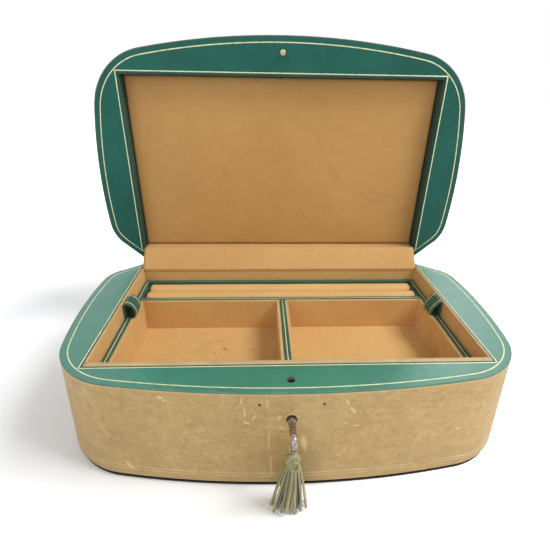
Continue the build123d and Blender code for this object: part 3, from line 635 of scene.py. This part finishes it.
# Place and half sizes in mm, and strength, of each dark mark inside
FLOOR_STAINS = [
    ((-55, -1.5, 40), (3.0, 2.4, 3), 0.85), ((-51, -4.0, 40), (2.0, 1.2, 3), 0.6),
    ((-64, -7.4, 40), (1.8, 1.2, 3), 0.8), ((-72, 8.5, 40), (9, 6, 3), 0.16), ((-76, -4, 40), (13, 9, 3), 0.14),
    ((-60, 12, 40), (6, 3, 3), 0.2), ((-30, -2, 40), (4, 3, 3), 0.3), ((-20, -12, 40), (2.2, 1.6, 3), 0.3),
]
PANEL_SPECKS = [
    ((-11.8, 108, 148.4), (1.1, 9, 0.9), 0.8), ((7.7, 108, 125.6), (1.0, 9, 0.8), 0.7),
    ((62, 108, 190), (0.9, 9, 0.8), 0.4), ((-80, 108, 170), (0.8, 9, 0.7), 0.4),
]
LINING_TONES = ((0.675, 0.405, 0.143), (0.605, 0.350, 0.117), (0.46, 0.26, 0.09), 14.0)

EXTERIOR = exterior_leather()
RIM_GREEN = green_leather("rim_green", (0.026, 0.215, 0.145), (0.018, 0.165, 0.110), (0.09, 0.28, 0.21),
                          (0.28, 0.42), 0.6)
LID_GREEN = green_leather("lid_green", (0.012, 0.120, 0.090), (0.008, 0.085, 0.064), (0.035, 0.15, 0.12),
                          (0.42, 0.56), 0.0, 0.25)
DARK_GREEN = green_leather("dark_green", (0.018, 0.075, 0.058), (0.010, 0.045, 0.036), (0.05, 0.13, 0.10),
                           (0.4, 0.55), 0.1)
TRAY_GREEN = green_leather("tray_green", (0.026, 0.130, 0.088), (0.015, 0.080, 0.056), (0.06, 0.20, 0.15),
                           (0.34, 0.48), 0.2)
SEAM = green_leather("seam_green", (0.012, 0.050, 0.036), (0.006, 0.026, 0.020), (0.03, 0.09, 0.07), (0.6, 0.7), 0.0)
WORN_RIM = worn_leather("worn_rim_edge", (0.20, 0.235, 0.135), (0.075, 0.150, 0.095), (0.42, 0.36, 0.18))
WORN_LID = worn_leather("worn_lid_edge", (0.185, 0.165, 0.115), (0.095, 0.095, 0.065), (0.32, 0.25, 0.15))
LINING = inner_leather("lining_calf", *LINING_TONES)
LEFT_LINING = inner_leather("stained_lining_calf", *LINING_TONES, FLOOR_STAINS)
PANEL = inner_leather("panel_calf", (0.565, 0.306, 0.089), (0.500, 0.258, 0.071), (0.40, 0.20, 0.058), 9.0,
                      PANEL_SPECKS)
STRIP = inner_leather("strip_calf", (0.585, 0.328, 0.105), (0.540, 0.293, 0.089), (0.48, 0.25, 0.075), 9.0)
EDGE = leather("edge_calf", (0.58, 0.43, 0.225), (0.46, 0.335, 0.165), grain=0.6 * MM, grain_depth=0.02 * MM,
               roughness=(0.6, 0.7), blotch=60.0)[0]
TASSEL = tassel_leather()
GOLD = finish("gold_tooling", (1, 1, 1), (260.0, 6.0, 0.7), [(0.28, (0.42, 0.42, 0.22)), (0.5, (0.78, 0.76, 0.44)),
                                                             (0.8, (0.90, 0.90, 0.62))],
              (0.5, 0.34), (0.4, 0.03 * MM), 0.12)
STEEL = metal("lock_steel", (0.60, 0.58, 0.55), (0.38, 0.34, 0.31), (0.4, 0.22))
KEY_METAL = metal("key_nickel", (0.58, 0.49, 0.47), (0.13, 0.10, 0.095), (0.32, 0.16), scale=620.0)
EYELET = metal("eyelet_brass", (0.62, 0.48, 0.25), (0.36, 0.27, 0.13), (0.55, 0.38), 0.35)
STUD = metal("stud_brass", (0.70, 0.58, 0.32), (0.42, 0.34, 0.18), (0.35, 0.18))
# Dark iron of the lock's pins, also used as painted shade in the stud's socket
DARK_IRON_AND_SHADE = metal("pin_iron_and_hole_shade", (0.12, 0.080, 0.045), (0.05, 0.032, 0.018), (0.8, 0.65), 0.15)
WOOD = finish("plain_wood", (4, 60, 60), (3.0, 6.0, 0.6, 1.0), [(0.35, (0.40, 0.25, 0.12)), (0.65, (0.58, 0.40, 0.21))],
              (0.6, 0.75), (0.3, 0.15 * MM))
CARD = finish("card_board", (1, 3, 1), (500.0, 4.0), [(0.3, (0.20, 0.15, 0.09)), (0.7, (0.30, 0.23, 0.15))],
              0.85, (0.4, 0.08 * MM))
BASE = finish("base_sheet", (1, 1, 1), (600.0, 5.0), [(0.3, (0.010, 0.008, 0.007)), (0.7, (0.030, 0.024, 0.020))],
              0.8, (0.4, 0.1 * MM))


# Solids that stay, with their materials

def paint():
    """Give each solid its own material."""
    finishes = {
        EXTERIOR: ["case_leather", "lid_leather"],
        RIM_GREEN: ["rim_leather"],
        TRAY_GREEN: ["tray_frame", "cross_partition", "center_divider"],
        LID_GREEN: ["lid_facing", "lift_loop_left", "lift_loop_right"],
        DARK_GREEN: ["lid_recess_trim", "ring_section_cheeks", "tray_ledge_left", "tray_ledge_right"],
        LINING: ["lining_front", "lining_left", "lining_right", "lining_rear", "lining_floor", "compartment_right",
                 "ring_section_floor", "ring_roll_front", "ring_roll_rear"],
        LEFT_LINING: ["compartment_left"],
        PANEL: ["lid_pad"],
        STRIP: ["hinge_strip"],
        WOOD: ["outer_wall", "floor_board", "rim_board", "well_frame", "lid_frame", "lid_board"],
        CARD: ["tray_floor"],
        BASE: ["bottom_cover"],
        STEEL: ["lock_case", "lock_bolt", "lock_plug", "hinge_leaf_case", "hinge_leaf_lid", "hinge_pin",
                "hinge_screws_case", "hinge_screws_lid"],
        DARK_IRON_AND_SHADE: ["lock_pins"],
        KEY_METAL: ["key"],
        EYELET: ["keyhole_eyelet"],
        STUD: ["catch_stud"],
        TASSEL: ["tassel_loop", "tassel_head", "tassel_strips"],
    }
    for material, names in finishes.items():
        for name in names:
            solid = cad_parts[name]
            solid.data.materials.clear()
            solid.data.materials.append(material)


# Gold lines on the rim, the lid and the tray

def rim_lines():
    """Gold lines on the case's rim and the lid's facing, each with the dark seam or worn edge beside it."""
    inner = gold_rectangle(GOLD_INNER)
    seam = gold_rectangle(SEAM_PLACE)
    bow = bow_line(-GOLD_MARGIN)
    edge = mirrored(half_outline(-EDGE_WIDTH / 2))
    lines = [
        ("rim_line_outer", bow, GOLD_WIDTH, GOLD, "case", False),
        ("rim_line_inner", inner, GOLD_WIDTH, GOLD, "case", True),
        ("rim_seam", seam, SEAM_WIDTH, SEAM, "case", True),
        ("rim_worn_edge", edge, EDGE_WIDTH, WORN_RIM, "case", False),
        ("lid_line_outer", bow, GOLD_WIDTH, GOLD, "lid", False),
        ("lid_line_inner", inner, GOLD_WIDTH, GOLD, "lid", True),
        ("lid_worn_edge", edge, EDGE_WIDTH, WORN_LID, "lid", False),
    ]
    for name, line, width, material, body, closed in lines:
        place, lift = (on_rim, UP) if body == "case" else (on_lid, TOWARDS_FRONT)
        piece = ribbon(name, [place(p) for p in line], width, GOLD_PROUD, lift, material, body, closed)


def tray_lines():
    """Gold lines along the tops of the tray's frame, partition and divider."""
    low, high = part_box("tray_frame")
    wall = 5.5 * MM
    z = TRAY_TOP
    corners = corner_points(low, high, wall / 2, z)
    cross_low, cross_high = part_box("cross_partition")
    cross_y = (cross_low.y + cross_high.y) / 2
    divide_low, divide_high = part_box("center_divider")
    divide_x = (divide_low.x + divide_high.x) / 2
    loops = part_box("lift_loop_right")
    gap = 1.0 * MM
    lines = []
    for front, rear in ((corners[1], corners[2]), (corners[0], corners[3])):
        before = Vector((front.x, loops[0].y - gap, z))
        after = Vector((front.x, loops[1].y + gap, z))
        lines += [(front, before), (after, rear)]
    lines += [(corners[0], corners[1]),
              (Vector((low.x + wall, cross_y, z)), Vector((high.x - wall, cross_y, z))),
              (Vector((divide_x, low.y + wall, z)), Vector((divide_x, cross_low.y - gap, z)))]
    for index, (start, end) in enumerate(lines):
        piece = ribbon(f"tray_line_{index}", straight(start, end), TRAY_LINE_WIDTH, GOLD_PROUD, UP, GOLD, "tray")


# Hinge strip

def hinge_strip():
    """The leather strip that covers the hinge inside, from the well's rear over to the lid's recess."""
    low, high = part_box("hinge_strip")
    thick = 1.4 * MM
    away = thick / 2 + 0.3 * MM
    well = Vector((0, WELL_Y, RIM_Z))
    lid = Vector((0, LID_FACE_Y, HINGE.z + HINGE.y - WELL_Y))
    lift = (TOWARDS_FRONT + UP).normalized()
    wall_y = WELL_Y - 1.9 * MM
    shelf = lid.z + away
    anchors = [Vector((0, wall_y, low.z)), Vector((0, wall_y, RIM_Z - 1.6 * MM)),
               Vector((0, wall_y + 0.7 * MM, RIM_Z - 0.25 * MM)),
               well.lerp(lid, 0.5) + lift * (away + 0.4 * MM), lid + lift * (away + 0.15 * MM),
               Vector((0, LID_FACE_Y + 1.2 * MM, shelf)), Vector((0, LID_FACE_Y + 5 * MM, shelf)),
               Vector((0, high.y, shelf))]
    line = smooth_line(anchors, 8)
    half = high.x
    columns = 96
    held_first, held_last = 8, len(line) - 12
    points = []
    for side in (0.5, -0.5):
        for i, (point, along) in enumerate(zip(line, tangents(line))):
            normal = Vector((0, -along.z, along.y))
            for j in range(columns + 1):
                x = -half + 2 * half * j / columns
                free = held_first < i < held_last
                ripple = wobble((x, point.y, point.z), 0.05, 0.25 * MM, 3.0) if free else 0
                inset = thick * 0.35 if j in (0, columns) else 0
                points.append(Vector((x, point.y, point.z)) + normal * (side * (thick - inset) + ripple))
    faces = sheet_faces(len(line), columns + 1)
    piece = add_mesh("hinge_cover_strip", points, faces, STRIP)
    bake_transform(piece)
    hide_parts("hinge_strip")


# Lid panel

def cloth_crown(half_x, half_z):
    """How a cover held at its edge swells over its padding: rows, columns and heights from 0 to 1, by a cloth run."""
    columns = round(2 * half_x / CLOTH_CELL)
    rows = round(2 * half_z / CLOTH_CELL)
    points = [(-half_x + 2 * half_x * j / columns, 0, -half_z + 2 * half_z * i / rows)
              for i in range(rows + 1) for j in range(columns + 1)]
    faces = [(i * (columns + 1) + j, i * (columns + 1) + j + 1, (i + 1) * (columns + 1) + j + 1,
              (i + 1) * (columns + 1) + j) for i in range(rows) for j in range(columns)]
    mesh = bpy.data.meshes.new("cover")
    mesh.from_pydata(points, [], faces)
    cover = linked("cover", mesh)
    held = cover.vertex_groups.new(name="held")
    near = 1e-6
    border = [k for k, (x, _, z) in enumerate(points) if half_x - abs(x) < near or half_z - abs(z) < near]
    held.add(border, 1.0, "REPLACE")
    cloth = cover.modifiers.new("cloth", "CLOTH")
    cloth.settings.vertex_group_mass = "held"
    cloth.settings.use_pressure = True
    cloth.settings.uniform_pressure_force = CLOTH_PRESSURE
    cloth.settings.effector_weights.gravity = 0
    cloth.settings.quality = 6
    for number in range(1, CLOTH_FRAMES + 1):
        bpy.context.scene.frame_set(number)
    shown = cover.evaluated_get(bpy.context.evaluated_depsgraph_get())
    rise = [abs(vertex.co.y) for vertex in shown.data.vertices]
    bpy.context.scene.frame_set(1)
    bpy.data.objects.remove(cover)
    bpy.data.meshes.remove(mesh)
    most = max(rise)
    print(f"The cover swelled by {most / MM:.2f} mm before it was scaled to its crown.")
    return rows, columns, [value / most for value in rise]


def sampled(grid, u, v):
    """The height of a cloth run's grid at a place from -1 to 1 each way."""
    rows, columns, level = grid
    a = min(max((v + 1) / 2 * rows, 0.0), rows - 1e-6)
    b = min(max((u + 1) / 2 * columns, 0.0), columns - 1e-6)
    i, j = int(a), int(b)
    s, t = a - i, b - j
    corner = i * (columns + 1) + j
    near = level[corner] * (1 - t) + level[corner + 1] * t
    far = level[corner + columns + 1] * (1 - t) + level[corner + columns + 2] * t
    return near * (1 - s) + far * s


def lid_panel():
    """The padded panel in the lid's recess, with the crown of its cloth run and rolled edges."""
    low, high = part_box("lid_pad")
    crown = 1.7 * MM
    fullness = 0.6
    roll = 2.2 * MM
    puff_margin = 12 * MM
    columns, rows = 150, 90
    half_x = high.x
    middle_z = (low.z + high.z) / 2
    half_z = (high.z - low.z) / 2
    face_y = low.y
    grid = cloth_crown(half_x, half_z)
    points = []
    for layer in (0, 1):
        for i in range(rows + 1):
            v = edge_packed(i / rows)
            for j in range(columns + 1):
                u = edge_packed(j / columns)
                x, z = u * half_x, middle_z + v * half_z
                if layer:
                    points.append(Vector((x, high.y, z)))
                    continue
                edge = min(half_x - abs(x), half_z - abs(z - middle_z))
                rolled = roll - sqrt(max(0.0, roll ** 2 - max(0.0, roll - edge) ** 2))
                y = face_y + crown * (1 - sampled(grid, u, v) ** fullness) + rolled
                puff = min(1.0, edge / puff_margin)
                y += puff * (wobble((x, 0, z), 0.055, 0.35 * MM, 1.0) + wobble((x, 0, z), 0.014, 0.06 * MM, 2.0))
                points.append(Vector((x, y, z)))
    piece = add_mesh("lid_padded_panel", points, sheet_faces(rows + 1, columns + 1), PANEL, "lid")
    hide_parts("lid_pad")


# Ring rolls

def ring_rolls():
    """Two padded rolls that hold rings between them."""
    for index, name in enumerate(("ring_roll_front", "ring_roll_rear")):
        low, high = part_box(name)
        radius = (high.y - low.y) / 2
        middle_y = (low.y + high.y) / 2
        top_z = high.z - radius
        end = 3.2 * MM
        half = high.x
        closing = [end * (1 - cos(pi / 2 * k / 7)) for k in range(7)]
        stations = [-half + x for x in closing]
        stations += [(-half + end) + (2 * half - 2 * end) * k / 120 for k in range(121)]
        stations += [half - x for x in reversed(closing)]
        arc = 22
        rings = []
        for x in stations:
            inset = max(0.0, end - (half - abs(x)))
            shrink = 1 - (1 - sqrt(max(0.0, 1 - (inset / end) ** 2))) * end / radius * 1.15
            for k in range(arc + 1):
                angle = pi * k / arc
                dent = wobble((x, k * 0.004, index), 0.03, 0.22 * MM, 5.0 + index)
                r = (radius + dent * (1 if 1 < k < arc - 1 else 0)) * shrink
                r = min(r, radius)
                rings.append(Vector((x, middle_y + r * cos(angle), top_z + r * sin(angle))))
            rings.append(Vector((x, middle_y - radius * shrink, low.z)))
            rings.append(Vector((x, middle_y + radius * shrink, low.z)))
        faces = tube_faces(len(stations), arc + 3)
        piece = add_mesh(f"{name}_padding", rings, faces, LINING, "tray")
        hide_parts(name)


# Lift loops

def lift_loops():
    """Green leather straps with a gold line near each edge, folded over the tray's side walls."""
    # Each strap's (x, z) in mm, from its outer end over the wall to its inner end
    routes = {
        "right": ((143.8, 59), (143.8, 68), (143.8, 77), (143.75, 82.6), (142.9, 84.6), (141.4, 83.5), (139.9, 81.6),
                  (137.3, 78.0), (136.2, 74.8), (136.4, 72.2), (137.6, 70.2), (137.95, 66), (137.95, 59)),
        "left": ((143.8, 59), (143.8, 68), (143.8, 77), (143.7, 82.3), (142.4, 84.7), (139.8, 84.6), (137.0, 82.6),
                 (135.3, 79.2), (134.7, 75.6), (135.6, 72.6), (137.3, 70.4), (137.95, 66), (137.95, 59)),
    }
    thick = 1.5 * MM
    line_margin = 3.0 * MM
    profile = ((-0.5, -LINE_SINK), (-0.4, GOLD_PROUD), (0.4, GOLD_PROUD), (0.5, -LINE_SINK))
    for name, side in (("left", -1), ("right", 1)):
        low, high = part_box(f"lift_loop_{name}")
        width = high.y - low.y
        middle_y = (low.y + high.y) / 2
        anchors = [Vector((side * x * MM, middle_y, z * MM)) for x, z in routes[name]]
        path = smooth_line(anchors, 6)
        section = rounded_section(width, thick, 0.6 * MM)
        piece = swept(f"lift_strap_{name}", path, section, lambda i, p, d: ACROSS_STRAPS, TRAY_GREEN, "tray")
        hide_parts(f"lift_loop_{name}")
        lifts = [ACROSS_STRAPS.cross(d).normalized() * side for d in tangents(path)]
        shown = range(20, len(path) - 18)
        for end, shift in (("front", -1), ("rear", 1)):
            rings = []
            for k in shown:
                point = path[k] + lifts[k] * (thick / 2) + ACROSS_STRAPS * (shift * (width / 2 - line_margin))
                rings += [point + ACROSS_STRAPS * (u * GOLD_WIDTH) + lifts[k] * v for u, v in profile]
            tooled = add_mesh(f"strap_line_{name}_{end}", rings, tube_faces(len(shown), 4), GOLD, "tray")


# Pale edges of the linings

def pale_edges():
    """Pale skived edges along the tops of the linings of the well and the compartments."""
    for name in ("lining_front", "lining_left", "lining_right"):
        low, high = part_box(name)
        z = high.z
        x, y = (low.x + high.x) / 2, (low.y + high.y) / 2
        if name == "lining_front":
            y += 0.15 * MM
            line = straight(Vector((low.x + 0.3 * MM, y, z)), Vector((high.x - 0.3 * MM, y, z)), 60)
            width = (high.y - low.y) - 0.5 * MM
        else:
            line = straight(Vector((x, low.y, z)), Vector((x, high.y, z)), 40)
            width = (high.x - low.x) - 0.2 * MM
        piece = ribbon(f"{name}_edge", line, width, 0.3 * MM, UP, EDGE, "case")
    wall = 2.0 * MM
    loop_gap = 12 * MM
    for name, outer_side in (("left", 3), ("right", 1)):
        low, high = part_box(f"compartment_{name}")
        z = high.z
        corners = corner_points(low, high, wall, z)
        loop_low, loop_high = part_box(f"lift_loop_{name}")
        beside_loop = [Vector((0, loop_low.y - loop_gap, z)), Vector((0, loop_high.y + loop_gap, z))]
        for index in range(4):
            start, end = corners[index], corners[(index + 1) % 4]
            spans = [(start, end)]
            if index == outer_side:
                first, second = beside_loop if start.y < end.y else reversed(beside_loop)
                first.x = second.x = start.x
                spans = [(start, first), (second, end)]
            for number, (a, b) in enumerate(spans):
                piece = ribbon(f"compartment_{name}_edge_{index}_{number}", straight(a, b), 0.9 * MM, 0.08 * MM,
                               UP, EDGE, "tray")


# Tassel

# Height of the ring on the knot, over its width
FOLD_HEIGHT = 1.5
# How far the tips hang to the left, and the turn between one strip's wave and the next
TASSEL_LEAN = -1.9 * MM
PHASE_STEP = 2.399


def tassel():
    """Knotted leather head and hanging strips, with the lace loop that holds them."""
    low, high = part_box("tassel_head")
    x, y = (low.x + high.x) / 2, (low.y + high.y) / 2
    head = tassel_head(x, y, low.z, high.z)
    fold = tassel_fold(x, y, low.z, high.z)
    start_z = low.z + 4.6 * MM
    bundle = []
    # Number of strips in each ring, its radius at the knot and at the tips, and its turn
    rings = ((15, 4.2 * MM, 12.4 * MM, 0.0), (12, 3.1 * MM, 9.4 * MM, 0.37), (9, 2.0 * MM, 6.2 * MM, 0.1),
             (5, 0.9 * MM, 3.0 * MM, 0.6))
    for count, root, spread, shift in rings:
        for index in range(count):
            turn = 2 * pi * (index + shift) / count
            bundle.append(tassel_strip(len(bundle), x, y, start_z, turn, root, spread))
    for strip in [head, fold, *bundle]:
        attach(strip, "tassel")
    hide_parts("tassel_strips")
    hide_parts("tassel_head")
    lace_loop()


def lace_loop():
    """The leather lace from the key's bow to the tassel's eye."""
    low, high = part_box("tassel_loop")
    thick = 1.0 * MM
    width = high.y - low.y
    radius = (high.x - low.x - thick) / 2
    centre = (low + high) / 2
    rise = (high.z - low.z - thick) / 2 - radius
    path = []
    steps = 48
    for k in range(steps):
        angle = 2 * pi * k / steps
        lift = rise if sin(angle) >= 0 else -rise
        path.append(Vector((centre.x + radius * cos(angle), centre.y, centre.z + lift + radius * sin(angle))))
    section = rounded_section(width, thick, 0.35 * MM)
    piece = swept("tassel_lace", path, section, lambda i, p, d: ACROSS_STRAPS, TASSEL, "tassel_loop", True)
    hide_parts("tassel_loop")


def tassel_fold(x, y, low_z, high_z):
    """The end of the tying strip, curled into a small ring on the front of the knot."""
    centre = fold_centre(x, y, low_z, high_z)
    path = []
    steps = 54
    for k in range(steps + 1):
        t = k / steps
        angle = 2 * pi * (1.18 * t) + 2.3
        radius = (2.9 - 0.35 * t) * MM
        depth = 1.1 * MM * cos(angle) ** 2 - 0.3 * MM * t
        path.append(centre + Vector((radius * cos(angle), depth, FOLD_HEIGHT * radius * sin(angle))))
    section = rounded_section(0.8 * MM, 1.2 * MM, 0.28 * MM)
    return swept("tassel_ring_fold", path, section, lambda i, p, d: p - centre, TASSEL, None)


def tassel_head(x, y, low_z, high_z):
    """The wrapped knot: a rounded body with turns of leather wound round it, with painted shade beside its ring."""
    rings, around = 40, 56
    top = high_z - 3.4 * MM
    profile = ((0.0, 3.6), (0.18, 4.4), (0.30, 4.75), (0.36, 4.25), (0.44, 4.7), (0.62, 5.0), (0.78, 4.5), (0.90, 3.3),
               (0.97, 2.0), (1.0, 1.0))
    points = []
    for i in range(rings):
        t = i / (rings - 1)
        z = low_z - 0.2 * MM + (top - low_z) * t
        for (a, ra), (b, rb) in zip(profile, profile[1:]):
            if a <= t <= b:
                blend = (t - a) / (b - a)
                bulge = (ra + (rb - ra) * (3 * blend ** 2 - 2 * blend ** 3)) * MM
        for k in range(around):
            angle = 2 * pi * k / around
            wrap = 0.30 * MM * abs(sin(2.6 * pi * t + angle * 0.5)) ** 0.5 * min(1.0, 3 * (1 - t))
            r = bulge - 0.25 * MM + wrap
            points.append(Vector((x + r * cos(angle), y + r * sin(angle), z)))
    knot = add_mesh("tassel_knot", points, tube_faces(rings, around), TASSEL)
    ring_centre = fold_centre(x, y, low_z, high_z)
    inner = knot.data.attributes.new("inner", "FLOAT", "POINT")
    # Painted shade in the creases on each side of the curled ring; the rest of the knot leans a little to the dark
    # colour
    for index, vertex in enumerate(knot.data.vertices):
        away = vertex.co - ring_centre
        near = sqrt(away.x ** 2 + (away.z / FOLD_HEIGHT) ** 2)
        beside = 1.7 * MM < near < 2.3 * MM or 3.2 * MM < near < 3.8 * MM
        inner.data[index].value = 0.8 if away.y < 3 * MM and beside else 0.12
    return knot


def fold_centre(x, y, low_z, high_z):
    """The middle of the curled strip end on the front of the knot."""
    return Vector((x + 0.7 * MM, y - 4.75 * MM, low_z + 0.53 * (high_z - 4 * MM - low_z)))


def tassel_strip(number, x, y, start_z, turn, root, spread):
    """One leather strip, hanging with a little sway and twist of its own."""
    phase = number * PHASE_STEP
    reach = spread * (1 + 0.10 * sin(phase))
    tip = 0.8 * MM + 3.4 * MM * (0.5 + 0.5 * sin(phase * 1.7)) ** 1.5
    width = 1.9 * MM * (1 + 0.14 * sin(phase * 2.3))
    thick = 0.85 * MM
    across = Vector((cos(turn), sin(turn), 0))
    steps = 30
    path = []
    for k in range(steps + 1):
        t = k / steps
        z = start_z - (start_z - tip) * t
        out = root + (reach - root) * (1.30 * t - 0.42 * t ** 2 + 0.12 * t ** 3)
        sway = 0.6 * MM * sin(phase + 3.6 * t) * t
        flat = Vector((cos(turn), (1 - 0.42 * t) * sin(turn), 0))
        side = Vector((-sin(turn), cos(turn), 0)) * sway
        path.append(Vector((x, y, z)) + flat * out + side + Vector((TASSEL_LEAN * t ** 1.4, 0, 0)))
    twist = sin(phase * 1.3)
    section = rounded_section(width, thick, 0.22 * MM, 2)

    def side_of(index, point, along):
        angle = turn + pi / 2 + twist * (index / steps) ** 1.5
        return Vector((cos(angle), sin(angle), 0))

    strip = swept(f"tassel_strip_{number}", path, section, side_of, TASSEL, None)
    inner = strip.data.attributes.new("inner", "FLOAT", "POINT")
    # The strips of the two inner rings take most of the dark colour, as painted shade inside the bundle; every third
    # strip of the outer rings takes half of it; the face towards the middle takes the flesh colour
    shade = 0.85 if root < 2.5 * MM else 0.5 if number % 3 == 1 else 0.0
    for index, vertex in enumerate(strip.data.vertices):
        away = vertex.co - path[min(index // len(section), steps)]
        inner.data[index].value = 1.0 if away.dot(across) < -0.02 * MM else shade
    return strip


# Socket of the lock

def socket_shade_liner():
    """Dark sleeve in the hole that takes the lid's stud, standing in for the shade inside the hole."""
    low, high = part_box("catch_stud")
    centre = Vector(((low.x + high.x) / 2, HINGE.y + HINGE.z - (low.z + high.z) / 2, 0))
    outer, inner = 2.98 * MM, 2.88 * MM
    bottom = RIM_Z - 4.8 * MM
    around = 40
    points = []
    for radius, z in ((outer, RIM_Z - 0.15 * MM), (inner, RIM_Z - 0.05 * MM), (inner, bottom), (outer, bottom)):
        for k in range(around):
            angle = 2 * pi * k / around
            points.append(centre + Vector((radius * cos(angle), radius * sin(angle), z)))
    # Painted shade: a dark sleeve where the hole is only in shade
    piece = add_mesh("socket_shade_sleeve", points, tube_faces(4, around, True), DARK_IRON_AND_SHADE, "case")


# Camera, lights and floor

def add_camera():
    """The camera at the photograph's place."""
    data = bpy.data.cameras.new("camera")
    data.sensor_width = SENSOR_MM
    data.lens = FOCAL_PX / IMAGE_PX * SENSOR_MM
    data.shift_x = (IMAGE_PX / 2 - CENTRE_PX[0]) / IMAGE_PX
    data.shift_y = (CENTRE_PX[1] - IMAGE_PX / 2) / IMAGE_PX
    data.clip_start = 0.01
    data.clip_end = 20
    camera = linked("camera", data)
    yaw, pitch, roll = radians(CAMERA_YAW), radians(CAMERA_PITCH), radians(CAMERA_ROLL)
    forward = Vector((-sin(yaw) * cos(pitch), cos(yaw) * cos(pitch), -sin(pitch)))
    right = Vector((cos(yaw), sin(yaw), 0))
    up = right.cross(forward)
    level = Matrix((right, up, -forward)).transposed()
    camera.matrix_world = Matrix.Translation(CAMERA_PLACE) @ level.to_4x4() @ Matrix.Rotation(roll, 4, "Z")
    bpy.context.scene.camera = camera


def area_light(name, place, target, size, power):
    """A soft rectangular white light aimed at a point."""
    data = bpy.data.lights.new(name, "AREA")
    data.shape = "RECTANGLE"
    data.size, data.size_y = size
    data.energy = power
    light = linked(name, data)
    light.location = place
    light.rotation_mode = "QUATERNION"
    light.rotation_quaternion = (Vector(target) - Vector(place)).to_track_quat("-Z", "Y")


def add_floor():
    """A wide pale floor."""
    size = FLOOR_HALF_SIZE
    corners = [(-size, -size, 0), (size, -size, 0), (size, size, 0), (-size, size, 0)]
    floor = add_mesh("floor", corners, [(0, 1, 2, 3)], floor_material(), smooth=False)


def floor_material():
    """Matt white paper with a painted glow that only the camera sees: faint near the box, so its shadow stays there,
    and full white further out.
    """
    material, tree, shader = new_material("floor_white")
    faint = noise_value(tree, coordinates(tree), 3.0, 2.0)
    reach = oval_distance(tree, coordinates(tree), SHADOW_PLACE)
    white = stretched_value(tree, reach, *SHADOW_REACH, FLOOR_GLOW, 1.0)
    seen = node(tree, "LightPath", {}).outputs["Is Camera Ray"]
    fill(tree, shader, {
        "Base Color": ramp(tree, faint, [(0.3, (0.95, 0.95, 0.95)), (0.7, (0.97, 0.97, 0.97))]), "Roughness": 0.9,
        "Specular IOR Level": 0.0, "Emission Color": (1, 1, 1),
        "Emission Strength": arithmetic(tree, "MULTIPLY", white, seen)})
    return material


def add_world():
    """Soft white surroundings, plain white where the camera, gloss and glass see them."""
    world = bpy.data.worlds.new("surroundings")
    world.use_nodes = True
    bpy.context.scene.world = world
    tree = world.node_tree
    tree.nodes.clear()
    light = node(tree, "Background", {"Color": (0.94, 0.97, 1.0), "Strength": WORLD_STRENGTH})
    white = node(tree, "Background", {"Color": (1, 1, 1), "Strength": 1.0})
    rays = node(tree, "LightPath", {}).outputs
    seen = arithmetic(tree, "MAXIMUM", rays["Is Glossy Ray"], rays["Is Transmission Ray"])
    seen = arithmetic(tree, "MAXIMUM", rays["Is Camera Ray"], seen)
    mix = node(tree, "MixShader", {0: seen, 1: light.outputs[0], 2: white.outputs[0]})
    node(tree, "OutputWorld", {"Surface": mix.outputs[0]})


def light_scene():
    """A softbox high on the right, a weak fill in front and a soft one behind."""
    area_light("key_softbox", (0.95, -0.25, 1.30), (0, 0.02, 0.05), (0.6, 0.6), 19)
    area_light("front_fill", (-0.8, -1.3, 0.9), (0, 0, 0.1), (1.4, 1.0), 5.6)
    area_light("rear_softbox", (0.3, 1.3, 1.1), (0, 0, 0.1), (1.6, 0.8), 6)


bpy.context.scene.view_settings.view_transform = "Standard"
paint()
rim_lines()
tray_lines()
hinge_strip()
lid_panel()
ring_rolls()
lift_loops()
pale_edges()
tassel()
socket_shade_liner()
add_floor()
add_world()
light_scene()
add_camera()
